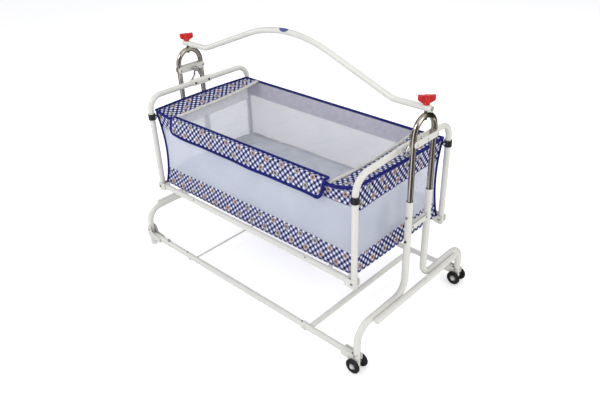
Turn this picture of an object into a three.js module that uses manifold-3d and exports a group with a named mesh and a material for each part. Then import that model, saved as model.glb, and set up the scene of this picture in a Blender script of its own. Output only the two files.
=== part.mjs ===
// A swinging baby cradle: a tubular stand on two wheels pairs and two glides, chrome hoops that
// telescope out of it, a bow over the top and a cloth bassinet that hangs and swings between the hoops.
// Millimetres, +Z up. The origin is on the floor, midway between the four feet.
// +X points to the end with the wheels and +Y to the rear.
import * as THREE from 'three';
import { mergeVertices } from 'three/addons/utils/BufferGeometryUtils.js';
import Module from 'manifold-3d';

const wasm = await Module();
wasm.setup();

// Stand: the plane of each end's tubes, its feet and its bends
const standHalfLength = 536;
const footHalfSpacing = 292;
const uprightHalfSpacing = 52;
const uprightTop = 494;
const lowRunHeight = 160;
const kneeRadius = 50;
const ankleRadius = 58;
const legDiameter = 22;
const legWall = 1.5;
const tieDiameter = 20;
const tieHalfLength = 229;

// Bars between the two uprights of one end
const uprightBarBelowTop = 94;
const uprightBarHeight = uprightTop - uprightBarBelowTop;
const uprightBarTall = 20;
const uprightBarDeep = 15;
const uprightBarWall = 2;

// The screw that holds the hoop's height, and the next hole down
const lockScrewBelowTop = 53;
const lockScrewHeight = uprightTop - lockScrewBelowTop;
const lockScrewDiameter = 6;
const lockHeadDiameter = 10;
const lockHeadThickness = 3;
const lockHoleBelowScrew = 86;
const lockHoleHeight = lockScrewHeight - lockHoleBelowScrew;
const lockHoleDiameter = 7;

// Base rails along the floor, their brackets and the two cross members
const railDiameter = 20;
const railWall = 1.5;
const railHeight = 50;
const railEndGap = 5;
const bracketWall = 2;
const bracketTall = 28;
const bracketRailReach = 38;
const glideBracketRailReach = 50;
const glideBracketRise = 30;
const glideGussetRun = 16;
const bracketLegReach = 12;
const bracketRivetInset = 14;
const rivetDiameter = 6;
const rivetHeadDiameter = 9;
const rivetHeadThickness = 2;
const legRivetLift = 10;
const crossbarFromWheels = 198;
const crossbarPlace = standHalfLength - crossbarFromWheels;
const crossbarDiameter = 18;
const crossbarWall = 1.5;
const tieRodFromGlides = 278;
const tieRodPlace = tieRodFromGlides - standHalfLength;
const tieRodDiameter = 7;
const sleeveLength = 24;
const sleeveWall = 3;
const sleeveScrewDiameter = 8;
const sleeveScrewLength = 7;

// Wheels at the right end, glides at the left end
const wheelDiameter = 50;
const wheelWidth = 12;
const wheelSideGap = 3.3;
const hubDiameter = 28;
const axleDiameter = 8;
const axleHeadDiameter = 13;
const axleHeadThickness = 3.5;
const legBelowAxle = 12;
const hubBossDiameter = 14;
const hubDish = 2;
const capWall = 1.7;
const capFloor = 4;
const capTall = 24;

// Chrome hoops, the plates across them and the pivot pins
const hoopDiameter = 18;
const hoopWall = 1.2;
const hoopInUpright = 194;
const hoopFootHeight = uprightTop - hoopInUpright;
const hoopCrownAboveUpright = 255;
const hoopCrownHeight = uprightTop + hoopCrownAboveUpright;
const pivotBelowCrown = 70;
const pivotHeight = hoopCrownHeight - pivotBelowCrown;
const plateTall = 20;
const plateThickness = 3;
const plateBoltDiameter = 6;
const plateHeadDiameter = 10;
const plateHeadThickness = 2.5;
const pivotPinDiameter = 8;
const pivotHeadDiameter = 14;
const pivotHeadThickness = 3;
const spoolFlangeDiameter = 20;
const spoolFlangeThickness = 2;
const spoolGrooveDiameter = 13;
const spoolGrooveWidth = 9;
const spoolFromFrame = 12;

// Bow over the cradle
const bowDiameter = 19;
const bowWall = 1.5;
const bowAboveCrown = 23;
const bowEndHeight = hoopCrownHeight + bowAboveCrown;
const bowRise = 163;
const bowPastHoop = 20;
const bowHalfLength = standHalfLength + bowPastHoop;
const bowFlatLength = 133;
const bowFlatReach = bowHalfLength - bowFlatLength;
const bowShoulderRadius = 80;
const bowCrownRadius = 500;

// Wing knobs, with their bolts, and the weld nuts on the hoops' crowns
const studDiameter = 6;
const studBelowCrown = 5;
const nutWidth = 10;
const nutTall = 4;
const spacerDiameter = 10;
const knobStemDiameter = 20;
const knobStemTall = 9;
const knobTall = 31;
const knobTopWidth = 50;
const knobFootWidth = 26;
const knobThickness = 12;
const knobTurnLeft = 59;
const knobTurnRight = 45;

// Basket frame: two inverted U tubes and two lower rails
const basketEndGap = 56;
const basketHalfLength = standHalfLength - basketEndGap;
const basketHalfWidth = 240;
const basketTubeDiameter = 20;
const basketTubeWall = 1.5;
const basketTopBelowPivot = 43;
const basketTopHeight = pivotHeight - basketTopBelowPivot;
const basketFrameTall = 380;
const basketFootHeight = basketTopHeight - basketFrameTall;
const basketBendRadius = 50;
const basketRailAboveFoot = 19;
const basketRailHeight = basketFootHeight + basketRailAboveFoot;
const cornerPlateWall = 2.5;
const cornerPlateTall = 28;
const cornerPlateReach = 28;
const cornerPlateLip = 12;
const cornerWeb = 12;

// Saddles on the top tubes and the steel straps that hang from the pivots
const saddleHalfLength = 46;
const saddleWall = 2.5;
const saddleTall = 22;
const saddleBoltHalfSpacing = 32;
const saddleBoltDiameter = 6;
const saddleHeadDiameter = 10;
const saddleHeadThickness = 2.5;
const strapWidth = 8;
const strapThickness = 3.5;
const strapEyeDiameter = 14;
const strapEyeThickness = 3.5;
const strapWaistHalfWidth = 12;
const strapWaistDrop = 22;
const strapWaistRadius = 8;

// Cloth bassinet
const clothThickness = 3;
const bassinetEndGap = 1;
const bassinetSideGap = 0.3;
const bassinetAboveRail = 11;
const bassinetBottom = basketRailHeight + bassinetAboveRail;
const rimBelowFrameTop = 61;
const bassinetTop = basketTopHeight - rimBelowFrameTop;
const bassinetTall = bassinetTop - bassinetBottom;
const bassinetDrawIn = 18;
const coverThickness = 2;
const coverSag = 9;
const mattressThickness = 72;
const mattressCrown = 12;
const mattressMargin = 6;
const mattressCornerRadius = 40;
const mattressDrawIn = 7;
const flapEndGap = 120;
const flapHalfLength = basketHalfLength - flapEndGap;
const flapDrop = 57;
const flapReach = 10;
const flapBendRadius = 3;
const flapBendSteps = 4;
const flapDropSteps = 5;
const flapCornerSteps = 4;
const flapCornerRadius = 24;
const flapWallGap = 1.3;
const slatFromEnd = 102;
const slatPlace = basketHalfLength - slatFromEnd;
const slatWidth = 36;
const slatThickness = 4;
const slatShortOfRail = 4;

// Ring clips that hold the cloth's corners to the frame
const clipBelowRim = 13;
const clipHeight = bassinetTop - clipBelowRim;
const clipTall = 22;
const clipWall = 3.2;
const clipTabWidth = 9;
const clipTabTall = 12;

// Clearance between pieces that touch, and how far a cutter runs past what it cuts
const clearance = 0.3;
const overrun = 2;

// How far a bend's facets may stray from its arc, and the facets of round tubes and small pieces
const bendSag = 0.6;
const strapSag = 0.1;
const tubeSides = 12;
const boreSides = 8;
const smallSides = 8;
const wheelSides = 20;
const cornerSteps = 5;

const legRadius = legDiameter / 2;
const legBore = legRadius - legWall;
const hoopRadius = hoopDiameter / 2;
const railRadius = railDiameter / 2;
const wheelRadius = wheelDiameter / 2;
const basketTubeRadius = basketTubeDiameter / 2;
const bowRadius = bowDiameter / 2;
const forkInner = basketTubeRadius + clearance;
const forkOuter = forkInner + cornerPlateWall;
const bassinetHalfLength = basketHalfLength - basketTubeRadius - bassinetEndGap;
const bassinetHalfWidth = basketHalfWidth - forkOuter - bassinetSideGap;
const rivetRadius = rivetDiameter / 2;
const quarterTurn = Math.PI / 2;

// Finishes, with the colours of the real object
const finish = (color, roughness, metalness = 0) =>
  new THREE.MeshStandardMaterial({ color, roughness, metalness });
const whitePaint = finish(0xe6e4da, 0.35);
const chrome = finish(0xb9b2a8, 0.12, 1);
const darkSteel = finish(0x3f3d3a, 0.4, 0.9);
const blackRubber = finish(0x1b1b1c, 0.75);
const greyPlastic = finish(0xc9cbcd, 0.45);
const whitePlastic = finish(0xdedfdc, 0.5);
const redPlastic = finish(0xd8252b, 0.35);
const blackPlastic = finish(0x17181b, 0.5);
const checkedCloth = finish(0x3a3f86, 0.9);
const paleNet = finish(0xd4d8e4, 0.95);
const mattressCloth = finish(0xb9c0cf, 0.95);

const cradle = new THREE.Group();

function place(name, geometry, material, x = 0, y = 0, z = 0, turn = 0) {
  const mesh = new THREE.Mesh(geometry, material);
  mesh.name = name;
  mesh.position.set(x, y, z);
  mesh.rotation.z = turn;
  cradle.add(mesh);
}

// A closed geometry as a solid that can be joined and cut
function solid(geometry) {
  const plain = geometry.clone();
  plain.deleteAttribute('normal');
  plain.deleteAttribute('uv');
  const merged = mergeVertices(plain, 1e-4);
  return new wasm.Manifold(new wasm.Mesh({
    numProp: 3,
    vertProperties: new Float32Array(merged.attributes.position.array),
    triVerts: new Uint32Array(merged.index.array),
  }));
}

function geometryOf(shape) {
  const mesh = shape.getMesh();
  const geometry = new THREE.BufferGeometry();
  geometry.setAttribute('position', new THREE.BufferAttribute(new Float32Array(mesh.vertProperties), 3));
  geometry.setIndex(new THREE.BufferAttribute(new Uint32Array(mesh.triVerts), 1));
  geometry.computeVertexNormals();
  return geometry;
}

// The first geometry with the others joined to it, then with the cutters taken away
function worked(joined, cutters = []) {
  let shape = solid(joined[0]);
  for (const extra of joined.slice(1)) shape = shape.add(solid(extra));
  for (const cutter of cutters) shape = shape.subtract(solid(cutter));
  return geometryOf(shape);
}

const moved = (geometry, x, y, z) => geometry.translate(x, y, z);
const block = (x, y, z) => new THREE.BoxGeometry(x, y, z);

// A solid of revolution about its own axis from [radius, height] pairs, turned to lie along an axis
function turned(profile, axis, sides = smallSides) {
  const points = profile.map(([radius, height]) => new THREE.Vector2(radius, height));
  const geometry = new THREE.LatheGeometry(points, sides);
  if (axis === 'z') geometry.rotateX(quarterTurn);
  if (axis === 'x') geometry.rotateZ(-quarterTurn);
  return geometry;
}

// A plain round bar between two places on its axis
const bar = (radius, from, to, axis, sides = smallSides) =>
  turned([[0, from], [radius, from], [radius, to], [0, to]], axis, sides);

// A round bar with a head at each end
const headedBar = (radius, reach, headRadius, headThickness, axis) => turned([
  [0, -reach - headThickness], [headRadius, -reach - headThickness], [headRadius, -reach],
  [radius, -reach], [radius, reach],
  [headRadius, reach], [headRadius, reach + headThickness], [0, reach + headThickness],
], axis);

// A line of points with each inner corner rounded by an arc of its own radius
function rounded(corners, radii, sag = bendSag) {
  const line = [corners[0]];
  for (let i = 1; i < corners.length - 1; i++) {
    const corner = corners[i];
    const before = corners[i - 1].clone().sub(corner).normalize();
    const after = corners[i + 1].clone().sub(corner).normalize();
    const half = before.angleTo(after) / 2;
    const tangent = radii[i - 1] / Math.tan(half);
    const centre = before.clone().add(after).normalize()
      .multiplyScalar(radii[i - 1] / Math.sin(half)).add(corner);
    const start = before.clone().multiplyScalar(tangent).add(corner).sub(centre);
    const end = after.clone().multiplyScalar(tangent).add(corner).sub(centre);
    const sweep = start.angleTo(end);
    const axis = start.clone().cross(end).normalize();
    const step = 2 * Math.acos(Math.max(0, 1 - sag / radii[i - 1]));
    const steps = Math.max(2, Math.round(sweep / step));
    for (let k = 0; k <= steps; k++) {
      const point = start.clone().applyAxisAngle(axis, sweep * k / steps).add(centre);
      if (point.distanceTo(line[line.length - 1]) > clearance) line.push(point);
    }
  }
  line.push(corners[corners.length - 1]);
  return line;
}

// A path through given points, stepped at those points and nowhere else
class PointPath extends THREE.Curve {
  constructor(points) {
    super();
    this.points = points;
  }

  getPoint(t, target = new THREE.Vector3()) {
    const spot = t * (this.points.length - 1);
    const i = Math.min(Math.floor(spot), this.points.length - 2);
    return target.lerpVectors(this.points[i], this.points[i + 1], spot - i);
  }

  getPointAt(u, target) {
    return this.getPoint(u, target);
  }

  getTangentAt(u, target) {
    return this.getTangent(u, target);
  }

  getSpacedPoints(steps) {
    return this.getPoints(steps);
  }
}

function ring(radius, sides) {
  const points = [];
  for (let k = 0; k < sides; k++) {
    const angle = 2 * Math.PI * k / sides;
    points.push(new THREE.Vector2(radius * Math.cos(angle), radius * Math.sin(angle)));
  }
  return points;
}

function swept(section, points) {
  return new THREE.ExtrudeGeometry(section, {
    extrudePath: new PointPath(points),
    steps: points.length - 1,
  });
}

// A bent tube, open at both ends
function tube(points, radius, bore, insideSides = boreSides) {
  const section = new THREE.Shape(ring(radius, tubeSides));
  section.holes.push(new THREE.Path(ring(bore, insideSides).reverse()));
  return swept(section, points);
}

const inEnd = (y, z) => new THREE.Vector3(0, y, z);
const alongX = (x, y, z) => new THREE.Vector3(x, y, z);

// A flat plate with round ends, standing in the YZ plane
function roundEndedPlate(halfSpacing, radius, thickness) {
  const shape = new THREE.Shape();
  shape.absarc(halfSpacing, 0, radius, -quarterTurn, quarterTurn);
  shape.absarc(-halfSpacing, 0, radius, quarterTurn, 3 * quarterTurn);
  const plate = new THREE.ExtrudeGeometry(shape, {
    depth: thickness, bevelEnabled: false, curveSegments: smallSides / 2,
  });
  plate.rotateX(quarterTurn).rotateZ(quarterTurn);
  return plate;
}

// A closed sheet between two surfaces, each a function of across (-1 to 1) and up (0 to 1)
function sheet(outer, inner, acrossSteps, upSteps) {
  const positions = [];
  const index = [];
  const layer = (acrossSteps + 1) * (upSteps + 1);
  for (const surface of [outer, inner]) {
    for (let j = 0; j <= upSteps; j++) {
      for (let i = 0; i <= acrossSteps; i++) {
        positions.push(...surface(2 * i / acrossSteps - 1, j / upSteps));
      }
    }
  }
  const at = (side, i, j) => side * layer + j * (acrossSteps + 1) + i;
  const quad = (a, b, c, d) => index.push(a, b, c, a, c, d);
  for (let j = 0; j < upSteps; j++) {
    for (let i = 0; i < acrossSteps; i++) {
      quad(at(0, i, j), at(0, i + 1, j), at(0, i + 1, j + 1), at(0, i, j + 1));
      quad(at(1, i, j), at(1, i, j + 1), at(1, i + 1, j + 1), at(1, i + 1, j));
    }
    quad(at(0, 0, j), at(0, 0, j + 1), at(1, 0, j + 1), at(1, 0, j));
    quad(at(0, acrossSteps, j), at(1, acrossSteps, j),
      at(1, acrossSteps, j + 1), at(0, acrossSteps, j + 1));
  }
  for (let i = 0; i < acrossSteps; i++) {
    quad(at(0, i, 0), at(1, i, 0), at(1, i + 1, 0), at(0, i + 1, 0));
    quad(at(0, i, upSteps), at(0, i + 1, upSteps), at(1, i + 1, upSteps), at(1, i, upSteps));
  }
  const geometry = new THREE.BufferGeometry();
  geometry.setAttribute('position', new THREE.Float32BufferAttribute(positions, 3));
  geometry.setIndex(index);
  geometry.computeVertexNormals();
  return geometry;
}

const ends = [['left', -1], ['right', 1]];
const faces = [['front', -1], ['rear', 1]];

// Stand
const bracketInner = legRadius + clearance;
const bracketOuter = bracketInner + bracketWall;
const legRivetHeight = railHeight + legRivetLift;
const rivet = (reach) =>
  headedBar(rivetRadius, reach, rivetHeadDiameter / 2, rivetHeadThickness, 'y');

function legGeometry(face, footEnd, hasWheels) {
  const corners = [
    inEnd(face * uprightHalfSpacing, uprightTop),
    inEnd(face * uprightHalfSpacing, lowRunHeight),
    inEnd(face * footHalfSpacing, lowRunHeight),
    inEnd(face * footHalfSpacing, footEnd),
  ];
  const joined = [tube(rounded(corners, [kneeRadius, ankleRadius]), legRadius, legBore, tubeSides)];
  const footAcross = face * footHalfSpacing;
  const cutters = [moved(
    bar(rivetRadius + clearance, -legRadius - overrun, legRadius + overrun, 'y'),
    0, footAcross, legRivetHeight,
  )];
  if (hasWheels) {
    cutters.push(moved(
      bar(axleDiameter / 2 + clearance, -legRadius - overrun, legRadius + overrun, 'y'),
      0, footAcross, wheelRadius,
    ));
  }
  if (face < 0) {
    const screwFrom = -uprightHalfSpacing - legRadius;
    joined.push(moved(turned([
      [0, -lockHeadThickness], [lockHeadDiameter / 2, -lockHeadThickness],
      [lockHeadDiameter / 2, 0], [lockScrewDiameter / 2, 0],
      [lockScrewDiameter / 2, legWall], [0, legWall],
    ], 'y'), 0, screwFrom, lockScrewHeight));
    cutters.push(moved(
      bar(lockHoleDiameter / 2, -overrun, legRadius, 'y'), 0, screwFrom, lockHoleHeight,
    ));
  }
  return worked(joined, cutters);
}

for (const [endName, end] of ends) {
  const hasWheels = end > 0;
  const footEnd = hasWheels ? wheelRadius - legBelowAxle : capFloor + clearance;
  const x = end * standHalfLength;
  for (const [faceName, face] of faces) {
    place(`leg_${faceName}_${endName}`, legGeometry(face, footEnd, hasWheels), whitePaint, x);
  }
}

const tieOut = standHalfLength + legRadius + clearance + tieDiameter / 2;
const tiePoints = [inEnd(-tieHalfLength, lowRunHeight), inEnd(tieHalfLength, lowRunHeight)];
for (const [endName, end] of ends) {
  place(`tie_tube_${endName}`, tube(tiePoints, tieDiameter / 2, tieDiameter / 2 - legWall),
    whitePaint, end * tieOut);
}

// A channel between the uprights, open below and shaped to their round sides
function uprightBarGeometry() {
  const channel = block(uprightBarDeep, 2 * uprightHalfSpacing, uprightBarTall);
  const hollow = moved(
    block(uprightBarDeep - 2 * uprightBarWall, 2 * uprightHalfSpacing + overrun, uprightBarTall),
    0, 0, -uprightBarWall,
  );
  const uprights = faces.map(([, face]) => moved(
    bar(legRadius + clearance, -uprightBarTall, uprightBarTall, 'z', wheelSides),
    0, face * uprightHalfSpacing, 0,
  ));
  return worked([channel], [hollow, ...uprights]);
}
for (const [endName, end] of ends) {
  place(`upright_bar_${endName}`, uprightBarGeometry(), whitePaint,
    end * standHalfLength, 0, uprightBarHeight);
}

// Base rails, their end brackets and cross members
const bracketLegFace = standHalfLength - legRadius;
const railHalfLength = bracketLegFace - railEndGap;
const railRivetPlace = railHalfLength - bracketRivetInset;

function baseRailGeometry() {
  const points = [alongX(-railHalfLength, 0, 0), alongX(railHalfLength, 0, 0)];
  const cutters = ends.map(([, end]) => moved(
    bar(rivetRadius + clearance, -railRadius - overrun, railRadius + overrun, 'y'),
    end * railRivetPlace, 0, 0,
  ));
  return worked([tube(points, railRadius, railRadius - railWall)], cutters);
}
for (const [faceName, face] of faces) {
  place(`base_rail_${faceName}`, baseRailGeometry(), whitePaint,
    0, face * footHalfSpacing, railHeight);
}

// A channel that holds a rail's end and straddles the leg, with the two rivets that join them.
// At the glides its sides rise along the leg as gussets.
// Its own origin is on the rail's axis, at the leg's centre.
function footBracketGeometry(end) {
  const reach = end < 0 ? glideBracketRailReach : bracketRailReach;
  const rise = end < 0 ? glideBracketRise : 0;
  const from = -(standHalfLength - railHalfLength) - reach;
  const to = bracketLegReach;
  const half = bracketTall / 2;
  const side = new THREE.Shape([
    [from, -half], [to, -half], [to, half + rise], [-legRadius, half + rise],
    [-legRadius - glideGussetRun, half], [from, half],
  ].map(([x, y]) => new THREE.Vector2(end * x, y)));
  const floorTo = -legRadius - clearance;
  const floorLong = floorTo - from;
  const sides = faces.map(([, face]) => moved(
    new THREE.ExtrudeGeometry(side, { depth: bracketWall, bevelEnabled: false })
      .translate(0, 0, -bracketWall / 2).rotateX(quarterTurn),
    0, face * (bracketInner + bracketWall / 2), 0,
  ));
  const floor = moved(block(floorLong, 2 * bracketInner + bracketWall, bracketWall),
    end * (from + floorTo) / 2, 0, (bracketWall - bracketTall) / 2);
  const railRivet = moved(rivet(bracketOuter), end * (railRivetPlace - standHalfLength), 0, 0);
  const legRivet = moved(rivet(bracketOuter), 0, 0, legRivetLift);
  return worked([...sides, floor, railRivet, legRivet]);
}
for (const [endName, end] of ends) {
  for (const [faceName, face] of faces) {
    place(`foot_bracket_${faceName}_${endName}`, footBracketGeometry(end), whitePaint,
      end * standHalfLength, face * footHalfSpacing, railHeight);
  }
}

// A cross member with a sleeve round each base rail and a screw under each sleeve
function crossMemberGeometry(diameter, bores) {
  const sleeveRadius = railRadius + clearance + sleeveWall;
  const member = bar(diameter / 2, -footHalfSpacing, footHalfSpacing, 'y', tubeSides);
  const joined = [member];
  const cutters = [...bores];
  for (const [, face] of faces) {
    const across = face * footHalfSpacing;
    joined.push(moved(bar(sleeveRadius, -sleeveLength / 2, sleeveLength / 2, 'x', tubeSides),
      0, across, 0));
    joined.push(moved(bar(sleeveScrewDiameter / 2, -sleeveRadius - sleeveScrewLength,
      -railRadius - sleeveWall / 2, 'z'), 0, across, 0));
    cutters.push(moved(bar(railRadius + clearance, -sleeveLength, sleeveLength, 'x', tubeSides),
      0, across, 0));
  }
  return worked(joined, cutters);
}
const crossbarBore = bar(crossbarDiameter / 2 - crossbarWall, -footHalfSpacing, footHalfSpacing, 'y');
place('base_crossbar', crossMemberGeometry(crossbarDiameter, [crossbarBore]), whitePaint,
  crossbarPlace, 0, railHeight);
place('base_tie_rod', crossMemberGeometry(tieRodDiameter, []), whitePaint,
  tieRodPlace, 0, railHeight);

// Feet
const capInner = legRadius + clearance;
const capOuter = capInner + capWall;
const capProfile = [
  [0, 0], [capOuter, 0], [capOuter, capTall], [capInner, capTall], [capInner, capFloor], [0, capFloor],
];
for (const [faceName, face] of faces) {
  place(`foot_cap_${faceName}`, turned(capProfile, 'z', wheelSides), whitePlastic,
    -standHalfLength, face * footHalfSpacing, 0);
}

const wheelInner = legRadius + wheelSideGap;
const wheelOuter = wheelInner + wheelWidth;
const tyreSeat = hubDiameter / 2 + clearance;
const tyreShares = [[-0.5, 0.86], [-0.36, 0.96], [-0.16, 1], [0.16, 1], [0.36, 0.96], [0.5, 0.86]];
const tyreProfile = [
  [tyreSeat, -wheelWidth / 2],
  ...tyreShares.map(([widthShare, radiusShare]) => [wheelRadius * radiusShare, wheelWidth * widthShare]),
  [tyreSeat, wheelWidth / 2],
  [tyreSeat, -wheelWidth / 2],
];
const hubBore = axleDiameter / 2 + clearance;
const hubHalf = wheelWidth / 2;
const hubBossReach = hubHalf + wheelSideGap - clearance;
const hubProfile = [
  [hubBore, -hubBossReach], [hubBossDiameter / 2, -hubBossReach], [hubBossDiameter / 2, -hubHalf],
  [hubDiameter / 2, -hubHalf], [hubDiameter / 2, hubHalf - hubDish],
  [hubBossDiameter / 2, hubHalf - hubDish], [hubBossDiameter / 2, hubHalf],
  [hubBore, hubHalf], [hubBore, -hubBossReach],
];
const axleReach = wheelOuter + clearance;
for (const [faceName, face] of faces) {
  place(`wheel_axle_${faceName}`,
    headedBar(axleDiameter / 2, axleReach, axleHeadDiameter / 2, axleHeadThickness, 'y'),
    darkSteel, standHalfLength, face * footHalfSpacing, wheelRadius);
  for (const [sideName, side] of [['a', -1], ['b', 1]]) {
    const across = face * footHalfSpacing + side * (wheelInner + hubHalf);
    const turn = side < 0 ? Math.PI : 0;
    place(`tyre_${faceName}_${sideName}`, turned(tyreProfile, 'y', wheelSides), blackRubber,
      standHalfLength, across, wheelRadius);
    place(`hub_${faceName}_${sideName}`, turned(hubProfile, 'y', wheelSides), greyPlastic,
      standHalfLength, across, wheelRadius, turn);
  }
}

// Hoops
const studHole = studDiameter / 2 + clearance;
const crownTop = hoopCrownHeight + hoopRadius;
const bowUnderside = bowEndHeight - bowRadius;

function hoopGeometry() {
  const corners = [
    inEnd(-uprightHalfSpacing, hoopFootHeight), inEnd(-uprightHalfSpacing, hoopCrownHeight),
    inEnd(uprightHalfSpacing, hoopCrownHeight), inEnd(uprightHalfSpacing, hoopFootHeight),
  ];
  const line = rounded(corners, [uprightHalfSpacing, uprightHalfSpacing]);
  const crownBottom = hoopCrownHeight - hoopRadius;
  const joined = [
    tube(line, hoopRadius, hoopRadius - hoopWall),
    bar(nutWidth / 2, crownBottom - nutTall, crownBottom + hoopWall, 'z'),
    bar(spacerDiameter / 2, crownTop - hoopWall, bowUnderside - clearance, 'z'),
  ];
  const cutters = [bar(studHole, crownBottom - nutTall - overrun, bowUnderside, 'z')];
  for (const [, face] of faces) {
    cutters.push(moved(
      bar(plateBoltDiameter / 2 + clearance, -hoopRadius - overrun, hoopRadius + overrun, 'x'),
      0, face * uprightHalfSpacing, pivotHeight,
    ));
  }
  return worked(joined, cutters);
}

// Two plates, one on each side of the hoop, on two bolts through its legs
const plateInner = hoopRadius + clearance;
const plateOuter = plateInner + plateThickness;
function pivotBridgeGeometry() {
  const plate = (from) => moved(
    roundEndedPlate(uprightHalfSpacing, plateTall / 2, plateThickness), from, 0, 0,
  );
  const bolts = faces.map(([, face]) => moved(
    headedBar(plateBoltDiameter / 2, plateOuter, plateHeadDiameter / 2, plateHeadThickness, 'x'),
    0, face * uprightHalfSpacing, 0,
  ));
  const pinHole = bar(pivotPinDiameter / 2 + clearance, -plateOuter - overrun, plateOuter + overrun, 'x');
  return worked([plate(plateInner), plate(-plateOuter), ...bolts], [pinHole]);
}

// A pin through both plates, with a grooved spool at its inner end; written for the right hoop
const strapPlane = basketHalfLength + spoolFromFrame + spoolFlangeThickness + spoolGrooveWidth / 2;
function pivotPinGeometry() {
  const pinRadius = pivotPinDiameter / 2;
  const flangeRadius = spoolFlangeDiameter / 2;
  const grooveRadius = spoolGrooveDiameter / 2;
  const tip = basketHalfLength + spoolFromFrame - standHalfLength;
  const grooveFrom = tip + spoolFlangeThickness;
  const grooveTo = grooveFrom + spoolGrooveWidth;
  const flangeTo = grooveTo + spoolFlangeThickness;
  const headFrom = plateOuter + clearance;
  return turned([
    [0, tip], [flangeRadius, tip], [flangeRadius, grooveFrom], [grooveRadius, grooveFrom],
    [grooveRadius, grooveTo], [flangeRadius, grooveTo], [flangeRadius, flangeTo],
    [pinRadius, flangeTo], [pinRadius, headFrom], [pivotHeadDiameter / 2, headFrom],
    [pivotHeadDiameter / 2, headFrom + pivotHeadThickness], [0, headFrom + pivotHeadThickness],
  ], 'x', tubeSides);
}
for (const [endName, end] of ends) {
  const x = end * standHalfLength;
  const turn = end < 0 ? Math.PI : 0;
  place(`hoop_${endName}`, hoopGeometry(), chrome, x);
  place(`pivot_bridge_${endName}`, pivotBridgeGeometry(), whitePaint, x, 0, pivotHeight);
  place(`pivot_pin_${endName}`, pivotPinGeometry(), darkSteel, x, 0, pivotHeight, turn);
}

// Bow: flat at both ends, straight slopes and one wide arc over the middle
function bowGeometry() {
  const line = rounded([
    alongX(-bowHalfLength, 0, bowEndHeight), alongX(-bowFlatReach, 0, bowEndHeight),
    alongX(0, 0, bowEndHeight + bowRise),
    alongX(bowFlatReach, 0, bowEndHeight), alongX(bowHalfLength, 0, bowEndHeight),
  ], [bowShoulderRadius, bowCrownRadius, bowShoulderRadius]);
  const holes = ends.map(([, end]) => moved(
    bar(studHole, bowUnderside - overrun, bowEndHeight + bowRadius + overrun, 'z'),
    end * standHalfLength, 0, 0,
  ));
  return worked([tube(line, bowRadius, bowRadius - bowWall)], holes);
}
place('bow', bowGeometry(), whitePaint);

// A wing knob moulded on its bolt, which runs down through the bow into the hoop's nut
function wingKnobGeometry() {
  const stemFrom = bowEndHeight + bowRadius + clearance;
  const stemTo = stemFrom + knobStemTall;
  const top = stemFrom + knobTall;
  const boltFrom = hoopCrownHeight - hoopRadius - studBelowCrown;
  const bolt = bar(studDiameter / 2, boltFrom, stemTo, 'z');
  const stem = bar(knobStemDiameter / 2, stemFrom, stemTo, 'z', tubeSides);
  const wing = new THREE.Shape();
  wing.moveTo(-knobFootWidth / 2, stemFrom + knobStemTall / 2);
  wing.lineTo(knobFootWidth / 2, stemFrom + knobStemTall / 2);
  wing.quadraticCurveTo(knobFootWidth / 2, stemTo, knobTopWidth / 2, stemTo + knobStemTall / 2);
  wing.lineTo(knobTopWidth / 2, top);
  wing.lineTo(-knobTopWidth / 2, top);
  wing.lineTo(-knobTopWidth / 2, stemTo + knobStemTall / 2);
  wing.quadraticCurveTo(-knobFootWidth / 2, stemTo, -knobFootWidth / 2, stemFrom + knobStemTall / 2);
  const wings = new THREE.ExtrudeGeometry(wing, {
    depth: knobThickness, bevelEnabled: false, curveSegments: smallSides / 2,
  });
  wings.translate(0, 0, -knobThickness / 2).rotateX(quarterTurn);
  return worked([stem, wings, bolt]);
}
for (const [endName, end, turn] of [['left', -1, knobTurnLeft], ['right', 1, knobTurnRight]]) {
  place(`wing_knob_${endName}`, wingKnobGeometry(), redPlastic,
    end * standHalfLength, 0, 0, THREE.MathUtils.degToRad(turn));
}

// Basket frame
function endFrameGeometry() {
  const corners = [
    inEnd(-basketHalfWidth, basketFootHeight), inEnd(-basketHalfWidth, basketTopHeight),
    inEnd(basketHalfWidth, basketTopHeight), inEnd(basketHalfWidth, basketFootHeight),
  ];
  const line = rounded(corners, [basketBendRadius, basketBendRadius]);
  const past = basketTubeRadius + overrun;
  const cutters = [];
  for (const [, face] of faces) {
    cutters.push(moved(bar(rivetRadius + clearance, -past, past, 'y'),
      0, face * basketHalfWidth, basketRailHeight));
    cutters.push(moved(bar(saddleBoltDiameter / 2 + clearance, -past, past, 'x'),
      0, face * saddleBoltHalfSpacing, basketTopHeight));
  }
  return worked([tube(line, basketTubeRadius, basketTubeRadius - basketTubeWall)], cutters);
}
for (const [endName, end] of ends) {
  place(`end_frame_${endName}`, endFrameGeometry(), whitePaint, end * basketHalfLength);
}

// A lower rail with a forked plate at each end, which straddles the end frame's leg on a rivet
function basketRailGeometry() {
  const forkFrom = basketHalfLength - cornerPlateReach;
  const forkTo = basketHalfLength + cornerPlateLip;
  const slotFrom = forkFrom + cornerWeb;
  const bore = basketTubeRadius - basketTubeWall;
  const joined = [bar(basketTubeRadius, -forkFrom - cornerWeb / 2, forkFrom + cornerWeb / 2, 'x', tubeSides)];
  const cutters = [];
  for (const [, end] of ends) {
    joined.push(moved(block(forkTo - forkFrom, 2 * forkOuter, cornerPlateTall),
      end * (forkFrom + forkTo) / 2, 0, 0));
    cutters.push(moved(block(forkTo - slotFrom + overrun, 2 * forkInner, cornerPlateTall + overrun),
      end * (slotFrom + forkTo + overrun) / 2, 0, 0));
  }
  cutters.push(bar(bore, -slotFrom - overrun, slotFrom + overrun, 'x', tubeSides));
  const rail = worked(joined, cutters);
  const rivets = ends.map(([, end]) => moved(rivet(forkOuter), end * basketHalfLength, 0, 0));
  return worked([rail, ...rivets]);
}
for (const [faceName, face] of faces) {
  place(`basket_rail_${faceName}`, basketRailGeometry(), whitePaint,
    0, face * basketHalfWidth, basketRailHeight);
}

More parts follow.
